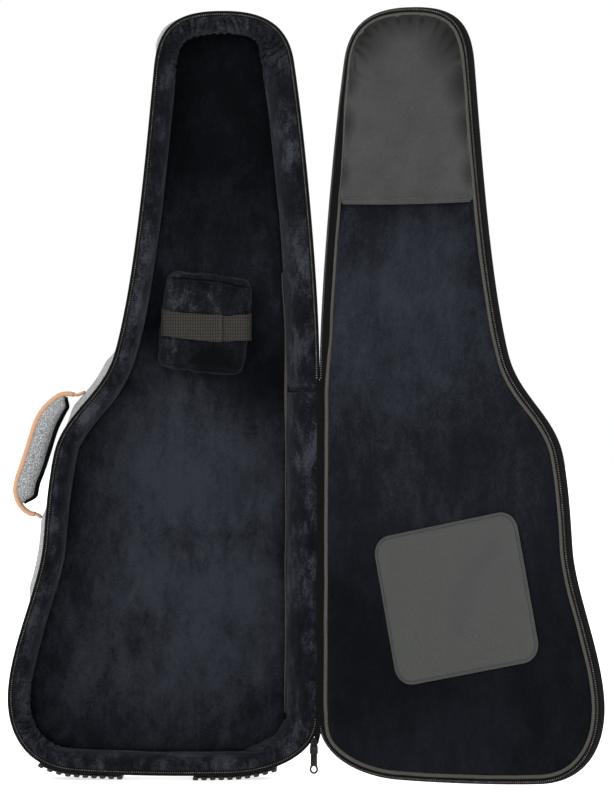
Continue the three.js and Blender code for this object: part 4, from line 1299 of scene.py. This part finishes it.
def lid_lining():
    drop = under_panel(RIM.at[:, 1])
    edge = RIM.lid_inset
    controls = [(edge - 1.2, -6.0), (edge - 0.6, -4.0 - 0.5 * drop), (edge + 1.2, -2.6 - 0.8 * drop),
                (edge + 5, -1.8 - drop)]
    border = RIM.at + RIM.inward * (edge + 5)[:, None]
    rows = flowing(stations(controls), 9)
    rim = loft("lid_lining_rim", rows, PLUSH_LID, round_rows=True, on_lid=True)

    def lift(points, inset):
        drop = under_panel(points[:, 2])
        fall = 1.3 * smoothstep(inset, 4, 34) + drop
        slack = wave(points, 130, 53.0) * 0.8 + wave(points, 45, 54.0) * 0.3
        return -1.8 - fall + slack * smoothstep(inset, 0, 25) * (1 - drop / PANEL_ROOM)
    face = panel("lid_lining_plush", border, 8, lift, PLUSH_LID, on_lid=True)
    piece = joined(face, rim)
    thicken(piece, 1.6, offset=1)
    finish_piece(piece, "lid", ["lid_lining", "lid_foam"])


def lid_edging():
    width = RIM.gusset
    rows = flowing(stations([(EDGE + 0.5 * width, -3.4), (EDGE + 0.72 * width, -2.5), (EDGE + width, -3.2),
                             (EDGE + width + 2.6, -7.6), (EDGE + width + 7, -9.0)]), 14)
    rows[..., 1] += wave(rows, 20, 61.0) * 0.5
    gusset = loft("lid_gusset_cloth", rows, TAPE, round_rows=True, on_lid=True)
    thicken(gusset, 0.8, offset=1)
    finish_piece(gusset, "lid", ["lid_gusset"])
    path = RIM.offset(EDGE + width + 2.3, -3.2)
    sway = wave(path, 38, 62.0) * 0.8
    rise = wave(path, 26, 63.0) * 0.5
    path = path + RIM.into * sway[:, None] + np.outer(rise, DEEP)
    girth = 2.1 + 0.9 * (1 - width / GUSSET) / NARROW + 0.3 * wave(path, 30, 64.0)
    girth = np.minimum(girth, 2.8)
    piping = tube("lid_piping_cord", path, girth[:, None, None], TRIM, closed=True, on_lid=True)
    finish_piece(piping, "lid", ["lid_piping"])


def lid_edge_tape():
    """Black tape round the lid's side, from the zip towards the shell's face; not along the hinge."""
    levels = [(EDGE - 0.9, -2.4), (EDGE - 1.4, -5), (EDGE - 1.6, -8), (EDGE - 1.9, -12), (EDGE - 1.5, -16),
              (EDGE - 0.2, -19)]
    rows = flowing(stations(levels), 14)[open_stations()]
    tape = loft("lid_edge_tape_weave", rows, TAPE, on_lid=True)
    thicken(tape, 0.8, offset=0)
    finish_piece(tape, "lid")


def headstock_panel():
    """A nylon panel over the round end, open along its hem, with its top edge drawn in."""
    loop = RIM.at + RIM.inward * (RIM.lid_inset - 1.0)[:, None]
    upper = loop[loop[:, 1] > HEM]
    hem_x = np.linspace(upper[-1, 0], upper[0, 0], 46)[1:-1]
    dip = 1.5 * np.sin(np.linspace(0, np.pi, len(hem_x)))
    border = np.vstack([upper, np.column_stack([hem_x, HEM - dip])])
    middle, crown = border[:, 0].mean(), 930  # the gathers run out from here
    hem_row = np.column_stack([hem_x, np.zeros(len(hem_x)), HEM - dip])

    def lift(points, inset):
        sewn = np.exp(-inset / 7) * smoothstep(points[:, 2], HEM + 2, HEM + 20)
        angle = np.arctan2(points[:, 2] - crown, points[:, 0] - middle)
        phase = angle * 19 + wave(points, 45, 71.0) * 4
        valley = (1 - np.abs(np.sin(phase))) ** 1.6
        reach = 17 + 16 * wave(points, 36, 73.0)
        near = hill(inset, 0, np.maximum(reach, 5)) * smoothstep(points[:, 2], crown, 1005)
        side = hill(inset, 0, 16) * wave(points * [0.5, 1, 1], 24, 74.0)
        broad = wave(points * [1.5, 1, 0.7], 70, 72.0) * 0.9 * (1 - np.exp(-inset / 20))
        lie = (broad + side - 1.6 - 4.4 * valley * near) * (1 - np.exp(-inset / 4))
        return -0.6 - 0.5 * sewn + lie
    piece = panel("headstock_panel_nylon", border, 3.2, lift, NYLON_SMOKE, on_lid=True)
    thicken(piece, 0.8, offset=0)
    finish_piece(piece, "lid", ["headstock_panel"])
    hem_row[:, 1] = -0.9
    hem = tube("headstock_panel_hem", flowing(hem_row, 60), 0.9, NYLON_SMOKE, on_lid=True)
    finish_piece(hem, "lid")
    stitch_row = (hem_row + [0, 0.4, 7])[1:-1]
    stitches = barrels("headstock_panel_stitches", stitch_row, 3.4, (2.5, 0.7, 0.6), THREAD, on_lid=True)
    finish_piece(stitches, "lid")


PATCH_MIDDLE = (-211, 253)
PATCH_SIZE = (220, 204)
PATCH_CORNER = 25
PATCH_TURN = -0.2
STITCH_INSET = 4.0


def bridge_patch():
    border = rounded_border(PATCH_MIDDLE, *PATCH_SIZE, PATCH_CORNER, PATCH_TURN, 9, 4.0)

    def lift(points, inset):
        x, z = points[:, 0] - PATCH_MIDDLE[0], points[:, 2] - PATCH_MIDDLE[1]
        hem = -1.2 * np.exp(-inset / 1.6) - 0.7 * hill(inset, STITCH_INSET, 1.6)
        crease = 1.8 * hill(x * 0.80 + z * 0.60 + 14 * np.sin(z / 45), 0, 12)
        crease *= smoothstep(z, -60, 60)
        slack = wave(points, 75, 81.0) * 1.8 + wave(points, 26, 82.0) * 0.4
        return -0.5 + hem + (crease + slack) * smoothstep(inset, 5, 26)
    piece = panel("bridge_patch_nylon", border, 5, lift, NYLON, on_lid=True)
    thicken(piece, 1.0, offset=-1)
    finish_piece(piece, "lid", ["bridge_patch"])
    row = in_space(inset_loop(border, STITCH_INSET), 0.1)
    stitches = barrels("bridge_patch_stitches", row, 3.2, (2.4, 1.3, 0.9), DARK_THREAD, True, True)
    finish_piece(stitches, "lid")
    hem_path = in_space(inset_loop(border, 0.5), -1.2)
    edge = tube("bridge_patch_hem", hem_path, 1.0, NYLON, closed=True, on_lid=True)
    finish_piece(edge, "lid")


# ---------------------------------------------------------------- accessory pocket on the lid's face
POCKET_MIDDLE = (-205, 205)
POCKET_SIZE = (290, 250)
POCKET_CORNER = 40
POCKET_FACE = -LID - 17
ZIP_LINE = POCKET_MIDDLE[1] + POCKET_SIZE[1] / 2 - 24
ZIP_REACH = 112
POCKET_SLIDER_X = POCKET_MIDDLE[0] + 100


def accessory_pocket():
    border = rounded_border(POCKET_MIDDLE, *POCKET_SIZE, POCKET_CORNER, 0, 9, 5.0)
    levels = [(-LID - 0.6, 0), (-LID - 3, -0.6), (-LID - 9, -0.9), (-LID - 13, 0.3), (-LID - 15.6, 2.8),
              (-LID - 16.8, 6.5)]

    def lift(points, inset):
        flat_zip = hill(points[:, 2], ZIP_LINE, 14)
        sag = -2.2 * smoothstep(inset, 0, 60) * (1 - flat_zip)
        slack = wave(points, 80, 91.0) * 1.3 + wave(points, 30, 92.0) * 0.4
        return sag + slack * smoothstep(inset, 0, 20) * (1 - flat_zip) - 0.2 * smoothstep(inset, 0, 8)
    piece = skin("accessory_pocket_fabric", border, levels, 7, lift, HEATHER, on_lid=True)
    thicken(piece, 1.2, offset=-1)
    finish_piece(piece, "lid", ["accessory_pocket"])
    for label, y, inset in (("outer", -LID - 15.4, 2.4), ("inner", -LID - 1.4, -1.4)):
        cord = tube(f"accessory_pocket_piping_{label}", in_space(inset_loop(border, inset), y), 1.6, TRIM,
                    closed=True, on_lid=True)
        finish_piece(cord, "lid")
    ends = [(POCKET_MIDDLE[0] + s * ZIP_REACH, POCKET_FACE - 0.8, ZIP_LINE) for s in (-1, -0.5, 0, 0.5, 1)]
    tape = strip("pocket_zip_tape", flowing(ends, 40), (0, 0, 1), 22, 1.0, TAPE, on_lid=True)
    finish_piece(tape, "lid", ["pocket_zip_chain"])
    teeth_line = np.array(ends) + [0, -1.1, 0]
    teeth = barrels("pocket_zip_teeth", teeth_line, 2.2, (1.4, 5.0, 1.4), TEETH, on_lid=True)
    finish_piece(teeth, "lid")
    for side in (-1, 1):
        row = np.array(ends) + [0, -0.7, side * 9]
        stitches = barrels(f"pocket_zip_stitches_{'low' if side < 0 else 'high'}", row, 3.4, (2.5, 0.7, 0.6),
                           DARK_THREAD, on_lid=True)
        finish_piece(stitches, "lid")
    slider_border = rounded_border((POCKET_SLIDER_X, ZIP_LINE), 13, 9, 2.6, 0, 4, 0.9)
    base = POCKET_FACE - 2.4
    slider = slab("pocket_slider_cast", slider_border, [(base, 0.6), (base - 0.5, 0), (base - 1.6, 0),
                                                        (base - 2.4, 0.5), (base - 2.8, 1.6)], METAL, True)
    finish_piece(slider, "small_slider", ["pocket_slider"])


def pocket_puller():
    """A slim tab; its eye hangs at the lower end."""
    pivot = (POCKET_SLIDER_X, ZIP_LINE)
    tab = puller("pocket_puller_cast", pivot, 30, POCKET_FACE - 8.4, 1.5, (3.5, 4.4), (1.7, 2.2), 2.2, METAL,
                 on_lid=True)
    finish_piece(tab, "small_puller", ["pocket_puller"])


# ---------------------------------------------------------------- straps and loop on the back
BACK_FACE = DEPTH + 0.6
STRAP_TOP = 700
STRAP_LOW = 300
STRAP_HALF = 31  # half width at the top; it narrows downwards
STRAP_ROWS = 80
QUILT_STEP = 62  # between the stitched lines across the pad
# where each strap runs: across at its top, at its buckle and at its foot
BACK_STRAPS = {"left": (-176, -268, -318), "right": (-94, -112, -96)}


def shoulder_strap(side, top_x, low_x, foot_x):
    t = np.linspace(0, 1, STRAP_ROWS)
    x = top_x + (low_x - top_x) * (3 * t * t - 2 * t ** 3)
    z = STRAP_TOP + (STRAP_LOW - STRAP_TOP) * t
    half = STRAP_HALF * (1 - 0.35 * t)
    taper = np.clip(np.minimum(t, 1 - t) / 0.03, 0, 1) ** 0.5
    half = half * (0.72 + 0.28 * taper)
    section = [(-1, 1.5), (-1.02, 4), (-0.93, 7.6), (-0.6, 9.9), (0, 10.7), (0.6, 9.9), (0.93, 7.6),
               (1.02, 4), (1, 1.5), (0.5, 1.4), (0, 1.4), (-0.5, 1.4)]
    closed = ring(section, 36)
    rows = np.array([[(x[k] + u * half[k], BACK_FACE + 1.4 + (v - 1.4) * (0.45 + 0.55 * taper[k]), z[k])
                      for u, v in closed] for k in range(STRAP_ROWS)])
    quilt = 1.2 * hill(np.mod(STRAP_TOP - rows[..., 2], QUILT_STEP), QUILT_STEP / 2, 2.6)
    outer_face = smoothstep(rows[..., 1], BACK_FACE + 6, BACK_FACE + 10)
    rows[..., 1] += (wave(rows, 26, 95.0) * 0.5 - quilt) * outer_face
    pad = bar(f"shoulder_strap_{side}_padded", rows, HEATHER)
    finish_piece(pad, "bag_body", [f"shoulder_strap_{side}"])
    for edge, sign in (("near", 1), ("far", -1)):
        line = in_space(np.column_stack([x + sign * half * 1.01, z]), BACK_FACE + 5.4)[3:-3]
        binding = tube(f"shoulder_strap_{side}_binding_{edge}", line, 1.9, TAPE)
        finish_piece(binding, "bag_body")
    spine = in_space(np.column_stack([x, z]), BACK_FACE + 11.2)[6:-2]
    webbing = strip(f"shoulder_strap_{side}_spine", spine, (1, 0, 0), 24, 1.3, WEBBING)
    finish_piece(webbing, "bag_body")
    ladder_buckle(side, low_x, STRAP_LOW - 24)
    drift = foot_x - low_x
    tail = flowing([(low_x, BACK_FACE + 1.2, STRAP_LOW - 12), (low_x + drift * 0.4, BACK_FACE + 1.6, 200),
                    (low_x + drift * 0.8, BACK_FACE + 1.2, 120), (foot_x, BACK_FACE + 0.8, 70)], 24)
    run = strip(f"strap_webbing_{side}_run", tail, (1, 0, 0), 25, 1.4, WEBBING)
    finish_piece(run, "bag_body", [f"strap_webbing_{side}"])


def ladder_buckle(side, x, z):
    """A moulded frame with two cross bars that the webbing threads through."""
    outer = rounded_border((x, z), 36, 30, 5, 0, 5, 1.6)
    middle = in_space(inset_loop(outer, 2.4), BACK_FACE + 5.4)
    bars = [tube(f"buckle_{side}_frame", middle, 2.4, PLASTIC, 12, closed=True)]
    for k, height in enumerate((-4.5, 4.5)):
        run = [(x + u, BACK_FACE + 5.8 + 0.8 * (1 - (u / 15) ** 2), z + height)
               for u in np.linspace(-15, 15, 9)]
        bars.append(tube(f"buckle_{side}_bar_{k}", run, 1.9, PLASTIC))
    buckle = joined(*bars)
    buckle.name = f"strap_buckle_{side}_moulded"
    finish_piece(buckle, "bag_body", [f"strap_buckle_{side}"])
    loop = flowing([(x, BACK_FACE + up, z + along) for up, along in
                    ((1.8, 14), (8.6, 6), (4.0, 0), (8.4, -6), (1.6, -16))], 30)
    weave = strip(f"strap_buckle_{side}_webbing", loop, (1, 0, 0), 24, 1.3, WEBBING)
    finish_piece(weave, "bag_body")


HAUL_X = -134
HAUL_Z = 905
HAUL_SPAN = 90
HAUL_DROP = 46


def haul_loop():
    shape = [(-1, 0), (-0.98, -0.5), (-0.8, -0.88), (-0.4, -1), (0, -1.02), (0.4, -1), (0.8, -0.88),
             (0.98, -0.5), (1, 0)]
    path = flowing([(HAUL_X + u * HAUL_SPAN / 2, BACK_FACE + 4.5, HAUL_Z + v * HAUL_DROP)
                    for u, v in shape], 60)
    along = unit(np.gradient(path, axis=0))
    across = np.cross(along, DEEP)
    loop = strip("haul_loop_webbing", path, across, 24, 2.8, WEBBING)
    finish_piece(loop, "back_loop", ["haul_loop"])
    border = rounded_border((HAUL_X, HAUL_Z + 16), HAUL_SPAN + 34, 26, 4, 0, 5, 2.0)
    levels = [(BACK_FACE + up, inset) for up, inset in ((0.2, 0), (1.4, -0.1), (2.2, 0.5), (2.5, 1.6))]
    patch = slab("haul_patch_cloth", border, levels, WEBBING)
    finish_piece(patch, "bag_body", ["haul_patch"])
    for label, offset_x in (("left", -HAUL_SPAN / 2), ("right", HAUL_SPAN / 2)):
        cross = [(HAUL_X + offset_x + u * 9, BACK_FACE + 2.7, HAUL_Z + 16 + v * 9) for u, v in
                 ((-1, -1), (1, 1), (1, -1), (-1, 1), (-1, -1))]
        stitches = barrels(f"haul_patch_stitches_{label}", cross, 3.0, (2.3, 0.8, 0.6), THREAD)
        finish_piece(stitches, "bag_body")


# ---------------------------------------------------------------- assembly
side_wall()
back_panel()
wall_lining()
floor_lining()
corner_pad()
floor_piping()
zip_half("body", 1, "bag_body", "body_zip_chain", "body_zip_tape")
zip_half("lid", -1, "lid", "lid_zip_chain", "lid_zip_tape")
neck_straps(neck_pillow())
foot_strip("foot_strip_left_ribs", -378, "foot_strip_left")
foot_strip("foot_strip_right_ribs", -168, "foot_strip_right")
handle_band()
handle_end("handle_end_upper", "handle_anchor_upper", (-333, 526.5), (-339, 527.2), (-318, 524))
handle_end("handle_end_lower", "handle_anchor_lower", (-388, 361), (-392, 362), (-375, 357))
handle_grip()
main_slider()
main_puller()
lid_shell()
lid_lining()
lid_edging()
lid_edge_tape()
headstock_panel()
bridge_patch()
accessory_pocket()
pocket_puller()
for strap_side, run in BACK_STRAPS.items():
    shoulder_strap(strap_side, *run)
haul_loop()
hinge_fold()
zip_bridge()
